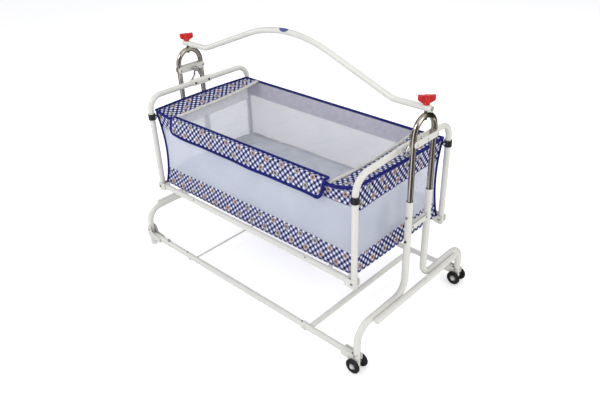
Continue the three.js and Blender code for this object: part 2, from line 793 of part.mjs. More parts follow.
// Saddle over a top tube, and the strap that hooks over the pivot's spool; written for the right end
const saddleInner = basketTubeRadius + clearance;
const saddleOuter = saddleInner + saddleWall;
const eyeFrom = saddleOuter + clearance;
const eyeTo = eyeFrom + strapEyeThickness;
function saddleGeometry() {
  const sideDrop = saddleTall - saddleOuter;
  const cutLength = saddleHalfLength + overrun;
  const arch = worked([
    bar(saddleOuter, -saddleHalfLength, saddleHalfLength, 'y', wheelSides),
    moved(block(2 * saddleOuter, 2 * saddleHalfLength, sideDrop), 0, 0, -sideDrop / 2),
  ], [
    bar(saddleInner, -cutLength, cutLength, 'y', wheelSides),
    moved(block(2 * saddleInner, 2 * cutLength, 2 * sideDrop), 0, 0, -sideDrop),
  ]);
  const headRadius = saddleHeadDiameter / 2;
  const boltRadius = saddleBoltDiameter / 2;
  const outerHead = eyeTo + clearance;
  const bolts = faces.map(([, face]) => moved(turned([
    [0, -saddleOuter - saddleHeadThickness], [headRadius, -saddleOuter - saddleHeadThickness],
    [headRadius, -saddleOuter], [boltRadius, -saddleOuter], [boltRadius, outerHead],
    [headRadius, outerHead], [headRadius, outerHead + saddleHeadThickness],
    [0, outerHead + saddleHeadThickness],
  ], 'x'), 0, face * saddleBoltHalfSpacing, 0));
  return worked([arch, ...bolts]);
}

function strapGeometry() {
  const loopRadius = spoolGrooveDiameter / 2 + clearance + strapThickness / 2;
  const pivotLift = pivotHeight - basketTopHeight;
  const waist = pivotLift - strapWaistDrop;
  const strapOut = strapPlane - basketHalfLength;
  const corner = (y, z) => new THREE.Vector3(strapOut, y, z);
  const line = rounded([
    corner(-saddleBoltHalfSpacing, 0), corner(-strapWaistHalfWidth, waist),
    corner(-loopRadius, pivotLift), corner(-loopRadius, pivotLift + loopRadius),
    corner(loopRadius, pivotLift + loopRadius), corner(loopRadius, pivotLift),
    corner(strapWaistHalfWidth, waist), corner(saddleBoltHalfSpacing, 0),
  ], [strapWaistRadius, strapWaistRadius, loopRadius, loopRadius, strapWaistRadius, strapWaistRadius],
  strapSag);
  const section = new THREE.Shape([
    new THREE.Vector2(-strapWidth / 2, -strapThickness / 2),
    new THREE.Vector2(strapWidth / 2, -strapThickness / 2),
    new THREE.Vector2(strapWidth / 2, strapThickness / 2),
    new THREE.Vector2(-strapWidth / 2, strapThickness / 2),
  ]);
  const eyes = faces.map(([, face]) => moved(bar(strapEyeDiameter / 2, eyeFrom, eyeTo, 'x', tubeSides),
    0, face * saddleBoltHalfSpacing, 0));
  const room = faces.map(([, face]) => moved(
    bar(saddleHeadDiameter / 2 + clearance, eyeTo, strapOut + strapWidth, 'x', tubeSides),
    0, face * saddleBoltHalfSpacing, 0,
  ));
  const holes = faces.map(([, face]) => moved(
    bar(saddleBoltDiameter / 2 + clearance, eyeFrom - overrun, eyeTo + overrun, 'x', tubeSides),
    0, face * saddleBoltHalfSpacing, 0,
  ));
  return worked([swept(section, line), ...eyes], [...room, ...holes]);
}
for (const [endName, end] of ends) {
  const turn = end < 0 ? Math.PI : 0;
  const x = end * basketHalfLength;
  place(`hanger_saddle_${endName}`, saddleGeometry(), whitePaint, x, 0, basketTopHeight, turn);
  place(`hanger_strap_${endName}`, strapGeometry(), darkSteel, x, 0, basketTopHeight, turn);
}

// Slats across the lower rails
function slatGeometry() {
  const slat = moved(block(slatWidth, 2 * (basketHalfWidth - slatShortOfRail), slatThickness),
    0, 0, bassinetBottom - clearance - slatThickness / 2);
  const rails = faces.map(([, face]) => moved(
    bar(basketTubeRadius + clearance, -slatWidth, slatWidth, 'x', wheelSides),
    0, face * basketHalfWidth, basketRailHeight,
  ));
  return worked([slat], rails);
}
for (const [endName, end] of ends) {
  place(`floor_slat_${endName}`, slatGeometry(), whitePaint, end * slatPlace);
}

// Bassinet: its half length and half width at a share of its height, drawn in by the pull of the net
const drawnIn = (up) => bassinetDrawIn * Math.sin(Math.PI * up) ** 2;
const halfLengthAt = (up) => bassinetHalfLength - drawnIn(up);
const halfWidthAt = (up) => bassinetHalfWidth - drawnIn(up);
const levelAt = (up) => bassinetBottom + up * bassinetTall;
const clothAcrossSteps = 4;
const clothUpSteps = 8;

function longWall(face) {
  const surface = (inward) => (across, up) => [
    -face * across * halfLengthAt(up), face * (halfWidthAt(up) - inward), levelAt(up),
  ];
  return sheet(surface(0), surface(clothThickness), clothAcrossSteps, clothUpSteps);
}
function endWall(end) {
  const surface = (inward) => (across, up) => [
    end * (halfLengthAt(up) - inward),
    end * across * (halfWidthAt(up) - clothThickness - clearance), levelAt(up),
  ];
  return sheet(surface(0), surface(clothThickness), clothAcrossSteps, clothUpSteps);
}
for (const [faceName, face] of faces) place(`wall_${faceName}`, longWall(face), paleNet);
for (const [endName, end] of ends) place(`wall_${endName}`, endWall(end), paleNet);

const floorInset = clothThickness + clearance;
place('bassinet_floor', block(
  2 * (bassinetHalfLength - floorInset), 2 * (bassinetHalfWidth - floorInset), clothThickness,
), checkedCloth, 0, 0, bassinetBottom + clothThickness / 2);

// Net cover with its end strips, stretched over the rim
function coverGeometry() {
  const surface = (lift) => (across, up) => {
    const along = 2 * up - 1;
    const sag = coverSag * (1 - across ** 2) ** 2 * (1 - along ** 2) ** 2;
    return [across * bassinetHalfLength, along * bassinetHalfWidth,
      bassinetTop + clearance + lift - sag];
  };
  return sheet(surface(coverThickness), surface(0), clothUpSteps, clothUpSteps);
}
place('net_cover', coverGeometry(), paleNet);

// Mattress: crowned, with rounded corners and sides that draw in above and below
function mattressGeometry() {
  const halfLength = bassinetHalfLength - bassinetDrawIn - clothThickness - mattressMargin;
  const halfWidth = bassinetHalfWidth - bassinetDrawIn - clothThickness - mattressMargin;
  const crownFrom = mattressThickness - mattressCrown;
  // Each ring: height as a share of the sides, inset as a share of the draw-in
  const ringShares = [[0, 1.6], [0.08, 0.5], [0.3, 0], [0.7, 0], [0.92, 0.5], [1, 1.6]];
  const crownShares = [[0.86, 0.45], [0.6, 0.8], [0.3, 0.96]];
  const outline = (inset) => {
    const points = [];
    const radius = mattressCornerRadius - inset;
    for (const [sx, sy, from] of [[1, 1, 0], [-1, 1, 1], [-1, -1, 2], [1, -1, 3]]) {
      for (let k = 0; k <= cornerSteps; k++) {
        const angle = quarterTurn * (from + k / cornerSteps);
        points.push([
          sx * (halfLength - mattressCornerRadius) + radius * Math.cos(angle),
          sy * (halfWidth - mattressCornerRadius) + radius * Math.sin(angle),
        ]);
      }
    }
    return points;
  };
  const base = bassinetBottom + clothThickness + clearance;
  const rings = ringShares.map(([heightShare, insetShare]) => outline(mattressDrawIn * insetShare)
    .map(([x, y]) => [x, y, base + crownFrom * heightShare]));
  const rim = outline(mattressDrawIn * ringShares[ringShares.length - 1][1]);
  for (const [sizeShare, riseShare] of crownShares) {
    rings.push(rim.map(([x, y]) => [x * sizeShare, y * sizeShare,
      base + crownFrom + mattressCrown * riseShare]));
  }
  const count = rim.length;
  const positions = rings.flat(2);
  const bottomCentre = positions.length / 3;
  positions.push(0, 0, base, 0, 0, base + mattressThickness);
  const index = [];
  for (let k = 0; k < count; k++) {
    const next = (k + 1) % count;
    for (let r = 0; r < rings.length - 1; r++) {
      const a = r * count + k;
      const b = r * count + next;
      index.push(a, b, b + count, a, b + count, a + count);
    }
    index.push(bottomCentre, next, k);
    const last = (rings.length - 1) * count;
    index.push(bottomCentre + 1, last + k, last + next);
  }
  const geometry = new THREE.BufferGeometry();
  geometry.setAttribute('position', new THREE.Float32BufferAttribute(positions, 3));
  geometry.setIndex(index);
  geometry.computeVertexNormals();
  return geometry;
}
place('mattress', mattressGeometry(), mattressCloth);

// Front flap: sewn to the cover along its top edge, over the rim and down outside the front wall.
// Its place is the seam that it turns about.
const seamHeight = bassinetTop + 2 * clearance + coverThickness + clothThickness / 2;
const seamAcross = -(bassinetHalfWidth + flapWallGap + clothThickness / 2 - flapReach);
function flapGeometry() {
  const flat = flapReach - flapBendRadius;
  const turnLength = quarterTurn * flapBendRadius;
  const over = flat + turnLength;
  const drop = flapDrop - flapBendRadius;
  const stops = [0, flat];
  for (let k = 1; k <= flapBendSteps; k++) stops.push(flat + turnLength * k / flapBendSteps);
  for (let k = 1; k <= flapDropSteps; k++) stops.push(over + drop * k / flapDropSteps);
  const upSteps = stops.length - 1;
  const half = flapHalfLength - flapCornerRadius;
  const acrossStops = [-half, half];
  for (let k = 1; k <= flapCornerSteps; k++) {
    const into = flapCornerRadius * Math.sin(quarterTurn * k / flapCornerSteps);
    acrossStops.push(half + into);
    acrossStops.unshift(-half - into);
  }
  const acrossSteps = acrossStops.length - 1;
  const surface = (lift) => (across, up) => {
    const along = acrossStops[Math.round((across + 1) / 2 * acrossSteps)];
    const intoCorner = Math.max(0, Math.abs(along) - half);
    const short = flapCornerRadius - Math.sqrt(Math.max(0, flapCornerRadius ** 2 - intoCorner ** 2));
    const stop = stops[Math.round((1 - up) * upSteps)];
    const down = Math.max(0, stop - over) * (drop - short) / drop;
    const bent = Math.min(1, Math.max(0, stop - flat) / turnLength) * quarterTurn;
    const radius = flapBendRadius + lift;
    return [along,
      -Math.min(stop, flat) - radius * Math.sin(bent),
      radius * Math.cos(bent) - flapBendRadius - down];
  };
  return sheet(surface(clothThickness / 2), surface(-clothThickness / 2), acrossSteps, upSteps);
}
place('front_flap', flapGeometry(), checkedCloth, 0, seamAcross, seamHeight);

// Ring clips on the end frames, each with a tab that reaches the cloth's corner
function clipGeometry(end, face) {
  const inner = basketTubeRadius + clearance;
  const outer = inner + clipWall;
  const cornerAway = Math.hypot(basketHalfLength - bassinetHalfLength, basketHalfWidth - bassinetHalfWidth);
  const tabTo = cornerAway - clearance;
  const tabFrom = inner + clipWall / 2;
  const toCorner = Math.atan2(
    -face * (basketHalfWidth - bassinetHalfWidth), -end * (basketHalfLength - bassinetHalfLength),
  );
  const tab = moved(block(tabTo - tabFrom, clipTabWidth, clipTabTall), (tabFrom + tabTo) / 2, 0, 0)
    .rotateZ(toCorner);
  const ringBody = bar(outer, -clipTall / 2, clipTall / 2, 'z', tubeSides);
  const bore = bar(inner, -clipTall, clipTall, 'z', tubeSides);
  return worked([ringBody, tab], [bore]);
}
for (const [endName, end] of ends) {
  for (const [faceName, face] of faces) {
    place(`corner_clip_${faceName}_${endName}`, clipGeometry(end, face), blackPlastic,
      end * basketHalfLength, face * basketHalfWidth, clipHeight);
  }
}

export default cradle;
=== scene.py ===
"""The looks of a swinging baby cradle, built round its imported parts.

The maker's sizes are in millimetres and become metres when a piece is made. +X points to the end with the
wheels, +Y to the rear and +Z up. Most pieces are surfaces worked out as arrays: a profile carried along a
path, a profile turned about an axis, or a point as a function of two parameters.
"""
import math

import bmesh
import bpy
import numpy as np
from mathutils import Matrix, Vector


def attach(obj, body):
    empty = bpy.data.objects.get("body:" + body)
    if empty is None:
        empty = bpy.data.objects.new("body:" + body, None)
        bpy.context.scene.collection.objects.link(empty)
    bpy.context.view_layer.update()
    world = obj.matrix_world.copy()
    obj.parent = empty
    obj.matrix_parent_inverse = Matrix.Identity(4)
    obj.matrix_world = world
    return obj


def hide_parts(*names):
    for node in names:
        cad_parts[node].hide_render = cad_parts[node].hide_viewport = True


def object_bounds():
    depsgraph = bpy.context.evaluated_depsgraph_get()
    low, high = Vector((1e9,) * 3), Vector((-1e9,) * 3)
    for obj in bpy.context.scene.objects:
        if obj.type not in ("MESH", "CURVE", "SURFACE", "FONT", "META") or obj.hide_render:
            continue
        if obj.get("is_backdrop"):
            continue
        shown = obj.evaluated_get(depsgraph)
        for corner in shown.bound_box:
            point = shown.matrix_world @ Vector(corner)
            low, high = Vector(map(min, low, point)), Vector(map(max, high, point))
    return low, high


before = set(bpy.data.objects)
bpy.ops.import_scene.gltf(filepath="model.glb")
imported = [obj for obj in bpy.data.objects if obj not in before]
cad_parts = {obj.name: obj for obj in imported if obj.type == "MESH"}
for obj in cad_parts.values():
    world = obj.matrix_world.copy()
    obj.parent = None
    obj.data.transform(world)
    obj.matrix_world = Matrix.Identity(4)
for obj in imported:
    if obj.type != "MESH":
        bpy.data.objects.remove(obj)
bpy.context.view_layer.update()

MM = 0.001
BORE_SHOWN = 40
X, Y, Z = np.eye(3)
ENDS = (("left", -1), ("right", 1))
SIDES = (("front", -1), ("rear", 1))

# Stand
STAND_X, FOOT_Y, UPRIGHT_Y, UPRIGHT_TOP, LOW_RUN = 536, 292, 52, 494, 160
LEG_R, LEG_BORE = 11, 9.5
LOCK_Z, HOLE_STEP = 441.0, 86
RAIL_Z, RAIL_R, RAIL_BORE, RAIL_END = 50, 10, 8.5, 520
TIE_X, TIE_Y, TIE_R = 557.3, 229, 10
BAR_Z = 400
CROSS_END = 283
WHEEL_R, WHEEL_IN, WHEEL_WIDE = 25, 14.3, 12
# Hoops and bow
HOOP_R, HOOP_BORE, HOOP_FOOT, HOOP_CROWN, PIVOT_Z = 9, 7.8, 300, 749, 679
BOW_Z, BOW_R, BOW_BORE, BOW_RISE, BOW_BEND, BOW_END = 772, 9.5, 8, 163, 423, 556
# Basket
BASKET_X, BASKET_Y, BASKET_R, BASKET_BORE = 480, 240, 10, 8.5
BASKET_TOP, BASKET_FOOT, BASKET_RAIL, BASKET_RAIL_END = 636, 256, 275, 463
STRAP_Y = 32
SLAT_X, SLAT_Z = 378, 283.7
CLOTH_X, CLOTH_Y, HEM, RIM = 469, 226.9, 286, 575
MATTRESS_X, MATTRESS_Y, MATTRESS_Z, MATTRESS_TALL = 442, 199.9, 289.3, 72
FLAP_Y, FLAP_Z = -219.7, 579.1
FLAP_LEFT, FLAP_RIGHT, FLAP_RUN = -372.0, 360.0, 74.0
LEFT_ROUND, RIGHT_ROUND = 11.0, 28.0
BINDING, HINGE_STRIP = 12, 6
ELASTIC = 19
CLIP_Z = 562
# Thickness of each sheet, in metres
WALL_THICK, COVER_THICK, FLAP_THICK = 0.0012, 0.0009, 0.0022


# ---------------------------------------------------------------- shapes
class Shell:
    """Grids of points that are welded into one mesh, each with its own look."""

    def __init__(self):
        self.points, self.quads, self.maps, self.looks, self.count = [], [], [], [], 0

    def grid(self, points, maps=None, look=0):
        """Adds rows by columns of points. maps holds each point's place on the cloth or metal, in metres."""
        rows, columns = points.shape[:2]
        at = self.count + np.arange(rows * columns).reshape(rows, columns)
        quads = np.stack([at[:-1, :-1], at[:-1, 1:], at[1:, 1:], at[1:, :-1]], -1).reshape(-1, 4)
        if maps is None:
            maps = np.stack(np.meshgrid(np.linspace(0, 1, columns), np.linspace(0, 1, rows)), -1)
        looks = np.broadcast_to(np.asarray(look), (rows - 1, columns - 1)).reshape(-1)
        self.points.append(points.reshape(-1, 3))
        self.maps.append(maps.reshape(-1, 2))
        self.quads.append(quads)
        self.looks.append(looks)
        self.count += rows * columns

    def build(self, name, materials, body, slot, replaces=(), sharp=35, closed=True):
        """Welds the points that share a place, drops faces that shrink to nothing and makes the object."""
        points, maps = np.concatenate(self.points), np.concatenate(self.maps)
        quads, looks = np.concatenate(self.quads), np.concatenate(self.looks)
        _, first, welded = np.unique(np.round(points, 3), axis=0, return_index=True, return_inverse=True)
        points, ids = points[first], welded.reshape(-1)[quads]
        same = ids == np.roll(ids, -1, axis=1)
        whole = ~same.any(1)
        faces, corners, kinds = ids[whole].tolist(), [quads[whole].reshape(-1)], [looks[whole]]
        for k in range(4):
            rows = same[:, k] & (same.sum(1) == 1)
            faces += np.delete(ids[rows], k, 1).tolist()
            corners.append(np.delete(quads[rows], k, 1).reshape(-1))
            kinds.append(looks[rows])
        mesh = bpy.data.meshes.new(name)
        mesh.from_pydata((points * MM).tolist(), [], faces)
        layer = mesh.uv_layers.new(name="UVMap")
        layer.data.foreach_set("uv", maps[np.concatenate(corners)].astype(np.float32).reshape(-1))
        mesh.polygons.foreach_set("material_index", np.concatenate(kinds).astype(np.int32))
        if closed:
            work = bmesh.new()
            work.from_mesh(mesh)
            bmesh.ops.recalc_face_normals(work, faces=work.faces)
            work.to_mesh(mesh)
            work.free()
        for material in materials:
            mesh.materials.append(material)
        mesh.shade_smooth()
        mesh.set_sharp_from_angle(angle=math.radians(sharp))
        piece = bpy.data.objects.new(name, mesh)
        bpy.context.scene.collection.objects.link(piece)
        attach(piece, body)
        if replaces:
            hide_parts(*replaces)
        return piece


def unit(v):
    """Each vector divided by its own length."""
    return v / np.maximum(np.linalg.norm(v, axis=-1, keepdims=True), 1e-12)


def bent(corners, radii, turn=6.0):
    """A line through the corners, with each inner one rounded: its arc is centred on the corner's bisector, at
    radius over the sine of half the corner, and its points are turned evenly about it, turn degrees each."""
    corners = np.asarray(corners, float)
    line = [corners[:1]]
    for corner, before, after, radius in zip(corners[1:-1], corners[:-2], corners[2:], radii):
        u, v = unit(before - corner), unit(after - corner)
        half = math.acos(np.clip(u @ v, -1, 1)) / 2
        centre = corner + unit(u + v) * radius / math.sin(half)
        start = corner + u * radius / math.tan(half) - centre
        end = corner + v * radius / math.tan(half) - centre
        swing = math.acos(np.clip(unit(start) @ unit(end), -1, 1))
        across = unit(end - start * math.cos(swing)) * radius
        a = np.linspace(0, swing, max(3, int(math.degrees(swing) / turn) + 1))[:, None]
        line.append(centre + start * np.cos(a) + across * np.sin(a))
    line.append(corners[-1:])
    line = np.concatenate(line)
    keep = np.append(True, np.linalg.norm(np.diff(line, axis=0), axis=1) > 0.05)
    return line[keep]


def tangents(path, loop=False):
    """The direction at each point of a path: the mean of the unit steps before and after it."""
    if loop:
        steps = unit(np.roll(path, -1, 0) - path)
        return unit(steps + np.roll(steps, 1, 0))
    steps = unit(np.diff(path, axis=0))
    return unit(np.concatenate([steps[:1], steps[:-1] + steps[1:], steps[-1:]]))


def along(path):
    """The distance run along a path at each of its points."""
    return np.append(0, np.cumsum(np.linalg.norm(np.diff(path, axis=0), axis=1)))


def straight(start, end):
    """A path of two points."""
    return np.array([start, end], float)


def tube(shell, path, radius, bore=0, side=X, sides=28, lip=0.5):
    """A round tube: each ring is the path's point plus radius times (cos a times side, sin a times tangent cross
    side). At each end the ring narrows to the bore, runs inwards and closes there; without a bore it closes flat."""
    t = tangents(path)
    # Rows of (how far in from the tube's end, radius there)
    mouth = [(0, radius - lip), (lip, radius)]
    if bore:
        mouth = [(BORE_SHOWN, 0), (BORE_SHOWN, bore), (lip, bore), (0, bore + lip)] + mouth
    else:
        mouth = [(0, 0)] + mouth
    mouth = np.array(mouth)
    centre = np.concatenate([path[0] + mouth[:, :1] * t[0], path[1:-1], path[-1] - mouth[::-1, :1] * t[-1]])
    rings = np.concatenate([mouth[:, 1], np.full(len(path) - 2, radius), mouth[::-1, 1]])
    ways = np.concatenate([np.repeat(t[:1], len(mouth), 0), t[1:-1], np.repeat(t[-1:], len(mouth), 0)])
    a = np.linspace(0, 2 * np.pi, sides + 1)
    other = np.cross(ways, side)
    spokes = np.cos(a)[None, :, None] * side + np.sin(a)[None, :, None] * other[:, None, :]
    points = centre[:, None, :] + rings[:, None, None] * spokes
    maps = np.stack(np.broadcast_arrays(a[None, :] * radius * MM, along(centre)[:, None] * MM), -1)
    shell.grid(points, maps)


def turned(shell, profile, centre, axis, look=0, sides=36):
    """A profile of (radius, height) rows turned about an axis through centre."""
    profile = np.asarray(profile, float)
    axis = np.asarray(axis, float)
    u = unit(np.cross(axis, Y if abs(axis[1]) < 0.9 else Z))
    v = np.cross(axis, u)
    a = np.linspace(0, 2 * np.pi, sides + 1)
    spokes = np.cos(a)[None, :, None] * u + np.sin(a)[None, :, None] * v
    points = np.asarray(centre, float) + profile[:, 1, None, None] * axis + profile[:, 0, None, None] * spokes
    run = along(np.column_stack([profile, np.zeros(len(profile))]))
    maps = np.stack(np.broadcast_arrays(a[None, :] * profile[:, 0].max() * MM, run[:, None] * MM), -1)
    shell.grid(points, maps, look)


def soft(points, radius=0.8, turn=30):
    """A flat profile of (radius, height) rows with its inner corners rounded."""
    points = np.column_stack([np.asarray(points, float), np.zeros(len(points))])
    return bent(points, [radius] * (len(points) - 2), turn)[:, :2]


def rounded(corners, radii, turn):
    """A closed flat outline with its corners rounded, each by its own radius and by turn degrees a step."""
    flat = np.array(corners, float)
    loop = np.column_stack([np.concatenate([flat, flat[:2]]), np.zeros(len(flat) + 2)])
    return bent(loop, np.roll(radii, -1), turn)[1:-1, :2]


def handed(outline, end):
    """An outline drawn for the right end, or its mirror image for the left one, both against the clock."""
    return outline if end > 0 else (outline * [-1, 1])[::-1]


def mirrored(half):
    """A closed profile of (radius, height) rows: its lower half, the same above it, and back to the start."""
    return half + [(radius, -height) for radius, height in half[::-1]] + half[:1]


def disc(shell, centre, axis, radius, low, high, look, sides):
    """A plain round bar or disc: a rectangle from the axis to radius and from low to high, turned."""
    turned(shell, [(0, low), (radius, low), (radius, high), (0, high)], centre, axis, look, sides)


def washer(shell, centre, axis, bore, radius, low, high, ease, look, sides):
    """A ring: a rectangle from bore to radius and from low to high, with eased corners, turned."""
    profile = soft([(bore, low), (radius, low), (radius, high), (bore, high), (bore, low)], ease)
    turned(shell, profile, centre, axis, look, sides)


def head(shell, centre, axis, radius, height, look=0):
    """The domed head of a rivet or screw: a quarter of an ellipse turned about its axis."""
    a = np.linspace(0, np.pi / 2, 6)
    profile = np.column_stack([radius * np.cos(a), height * (0.35 + 0.65 * np.sin(a))])
    profile = np.concatenate([[[0, -0.5], [radius, -0.5]], profile])
    turned(shell, profile, centre, axis, look, 20)


def outline_box(length, height, radius, steps=5):
    """A rectangle's outline, against the clock: a quarter circle of steps points at each corner."""
    a = np.linspace(0, np.pi / 2, steps)
    arc = np.column_stack([np.cos(a), np.sin(a)]) * radius
    corners = []
    for sx, sy, k in ((1, 1, 0), (-1, 1, 1), (-1, -1, 2), (1, -1, 3)):
        c, s = math.cos(k * np.pi / 2), math.sin(k * np.pi / 2)
        corners.append(arc @ np.array([[c, s], [-s, c]]) + [sx * (length / 2 - radius), sy * (height / 2 - radius)])
    return np.concatenate(corners)


def slab(shell, outline, thick, centre, u, v, look=0, edge=0.6):
    """A flat plate: its outline lies in the directions u and v about centre, thick is across it, and its edges
    are eased by moving the outline inwards along its own normals."""
    u, v = np.asarray(u, float), np.asarray(v, float)
    w = np.cross(u, v)
    ring = np.concatenate([outline, outline[:1]])
    step = unit(np.roll(outline, -1, 0) - np.roll(outline, 1, 0))
    inward = np.column_stack([-step[:, 1], step[:, 0]])
    inner = outline + inward * edge
    inner = np.concatenate([inner, inner[:1]])
    middle = np.repeat(outline.mean(0)[None], len(ring), 0)
    h = thick / 2
    rows = [(middle, -h), (inner, -h), (ring, edge - h), (ring, h - edge), (inner, h), (middle, h)]
    points = np.stack([centre + flat[:, :1] * u + flat[:, 1:] * v + level * w for flat, level in rows])
    maps = np.stack([flat * MM for flat, _ in rows])
    shell.grid(points, maps, look)


def tape(shell, path, normals, width, thick, look=0, loop=False, sides=12, power=1.0):
    """Binding tape or piping: an ellipse of width by thick carried along a path, with its short axis along the
    cloth's normal. A power under 1 on its cosine and sine squares it. The width may differ from point to point,
    and one normal may do for them all."""
    t = tangents(path, loop)
    n = unit(normals - (normals * t).sum(1, keepdims=True) * t)
    b = np.cross(t, n)
    if loop:
        path, n, b = (np.concatenate([k, k[:1]]) for k in (path, n, b))
    a = np.linspace(0, 2 * np.pi, sides + 1)
    ca, sa = (np.sign(k) * np.abs(k) ** power for k in (np.cos(a), np.sin(a)))
    size, wide = np.ones(len(path)), np.broadcast_to(width, len(path))
    if not loop:
        path, n, b, wide = (np.concatenate([k[:1], k, k[-1:]]) for k in (path, n, b, wide))
        size = np.concatenate([[0], size, [0]])
    points = path[:, None] + size[:, None, None] * (
        wide[:, None, None] / 2 * ca[None, :, None] * b[:, None] + thick / 2 * sa[None, :, None] * n[:, None])
    maps = np.stack(np.broadcast_arrays(a[None, :] / (2 * np.pi) * np.max(width) * 2 * MM,
                                        along(path)[:, None] * MM), -1)
    shell.grid(points, maps, look)


def thicken(piece, thickness, backs):
    """Gives a sheet its thickness in metres on its inner side, whose looks are those from number backs on."""
    made = piece.modifiers.new("thickness", "SOLIDIFY")
    made.thickness, made.offset, made.material_offset = thickness, -1, backs


# ---------------------------------------------------------------- finishes
class Graph:
    """Short ways to place and join shader nodes in one tree."""

    def __init__(self, tree):
        self.tree = tree

    def node(self, kind, inputs=None, **settings):
        """A new node: its settings first, then each input, which is joined to a socket or set to a value."""
        made = self.tree.nodes.new(kind)
        for key, value in settings.items():
            setattr(made, key, value)
        for key, value in (inputs or {}).items():
            if isinstance(value, bpy.types.NodeSocket):
                self.tree.links.new(value, made.inputs[key])
            else:
                made.inputs[key].default_value = value
        return made

    def maths(self, operation, a, b=0.0, clamp=False):
        """One sum of two numbers."""
        return self.node("ShaderNodeMath", {0: a, 1: b}, operation=operation, use_clamp=clamp).outputs[0]

    def mix(self, factor, a, b):
        """Colour a where the factor is 0 and colour b where it is 1."""
        return self.node("ShaderNodeMix", {0: factor, 6: a, 7: b}, data_type="RGBA").outputs[2]

    def parts(self, vector):
        """A vector's three parts."""
        return self.node("ShaderNodeSeparateXYZ", {0: vector}).outputs

    def noise(self, vector, scale, detail=2.0):
        """Cloudy noise of about scale lumps to the metre."""
        return self.node("ShaderNodeTexNoise", {"Vector": vector, "Scale": scale, "Detail": detail}).outputs["Fac"]

    def between(self, value, low, high):
        """A smooth step: 0 where the value is at low and 1 where it is at high."""
        return self.node("ShaderNodeMapRange", {0: value, 1: low, 2: high},
                         interpolation_type="SMOOTHSTEP").outputs[0]


def group(name, inputs, outputs, fill):
    """A shader node group with named inputs and outputs, filled by a function of its graph and its input node."""
    tree = bpy.data.node_groups.new(name, "ShaderNodeTree")
    for label, kind, value in inputs:
        socket = tree.interface.new_socket(name=label, in_out="INPUT", socket_type=kind)
        if value is not None:
            socket.default_value = value
    for label, kind in outputs:
        tree.interface.new_socket(name=label, in_out="OUTPUT", socket_type=kind)
    graph = Graph(tree)
    source = graph.node("NodeGroupInput")
    sink = graph.node("NodeGroupOutput")
    for label, value in fill(graph, source).items():
        tree.links.new(value, sink.inputs[label])
    return tree


FLOAT, VECTOR = "NodeSocketFloat", "NodeSocketVector"


def fill_surface(g, source):
    """Fine orange peel for the height, a slow mottle for colour and a middling one for gloss."""
    place, scale = source.outputs["Vector"], source.outputs["Scale"]
    fine = g.noise(place, scale, 3.0)
    slow = g.noise(place, g.maths("MULTIPLY", scale, 0.02), 3.0)
    middling = g.noise(place, g.maths("MULTIPLY", scale, 0.15), 4.0)
    return {"Height": fine, "Mottle": g.between(slow, 0.35, 0.65), "Smudge": g.between(middling, 0.42, 0.68)}


def fill_check(g, source):
    """Gingham on the bias: two soft stripes, along x + y and along x - y, whose mean is the depth of colour."""
    x, y, _ = g.parts(source.outputs["Vector"])
    turn = g.maths("DIVIDE", 2 * math.pi / math.sqrt(2), source.outputs["Pitch"])
    stripes = []
    for operation in ("ADD", "SUBTRACT"):
        way = g.maths("MULTIPLY", g.maths(operation, x, y), turn)
        stripes.append(g.between(g.maths("SINE", way), -0.22, 0.22))
    depth = g.maths("MULTIPLY", g.maths("ADD", stripes[0], stripes[1]), 0.5)
    return {"Depth": depth}


def fill_flowers(g, source):
    """Small five-petalled flowers on a staggered lattice: in each cell the petals' edge is radius times
    (0.85 + 0.15 cos 5 angle), and the cell's own random number picks the tint."""
    x, y, _ = g.parts(source.outputs["Vector"])
    wide, tall = source.outputs["Wide"], source.outputs["Tall"]
    rows = g.maths("DIVIDE", y, tall)
    row = g.maths("FLOOR", rows)
    shift = g.maths("MULTIPLY", g.maths("MODULO", row, 2.0), 0.43)
    columns = g.maths("ADD", g.maths("DIVIDE", x, wide), shift)
    column = g.maths("FLOOR", columns)
    x = g.maths("MULTIPLY", g.maths("SUBTRACT", g.maths("SUBTRACT", columns, column), 0.5), wide)
    y = g.maths("MULTIPLY", g.maths("SUBTRACT", g.maths("SUBTRACT", rows, row), 0.5), tall)
    away = g.maths("SQRT", g.maths("ADD", g.maths("MULTIPLY", x, x), g.maths("MULTIPLY", y, y)))
    angle = g.maths("MULTIPLY", g.maths("ARCTAN2", y, x), 5.0)
    edge = g.maths("MULTIPLY", source.outputs["Radius"],
                   g.maths("ADD", 0.85, g.maths("MULTIPLY", g.maths("COSINE", angle), 0.15)))
    share = g.maths("DIVIDE", away, edge)
    cell = g.node("ShaderNodeCombineXYZ", {0: column, 1: row})
    tint = g.node("ShaderNodeTexWhiteNoise", {0: cell.outputs[0]}, noise_dimensions="2D").outputs["Value"]
    return {"Petals": g.between(share, 1.08, 0.92), "Line": g.between(share, 0.80, 0.92),
            "Heart": g.between(share, 0.48, 0.36), "Tint": g.between(tint, 0.35, 0.55)}


def fill_weave(g, source):
    """Plain weave: the product of two sines is raised where a thread passes over, with a slow unevenness."""
    x, y, _ = g.parts(source.outputs["Vector"])
    count = g.maths("MULTIPLY", source.outputs["Threads"], 2 * math.pi)
    over = g.maths("MULTIPLY", g.maths("SINE", g.maths("MULTIPLY", x, count)),
                   g.maths("SINE", g.maths("MULTIPLY", y, count)))
    slow = g.noise(source.outputs["Vector"], 34.0, 3.0)
    return {"Height": g.maths("ADD", 0.5, g.maths("MULTIPLY", over, 0.5)), "Uneven": g.between(slow, 0.3, 0.7)}


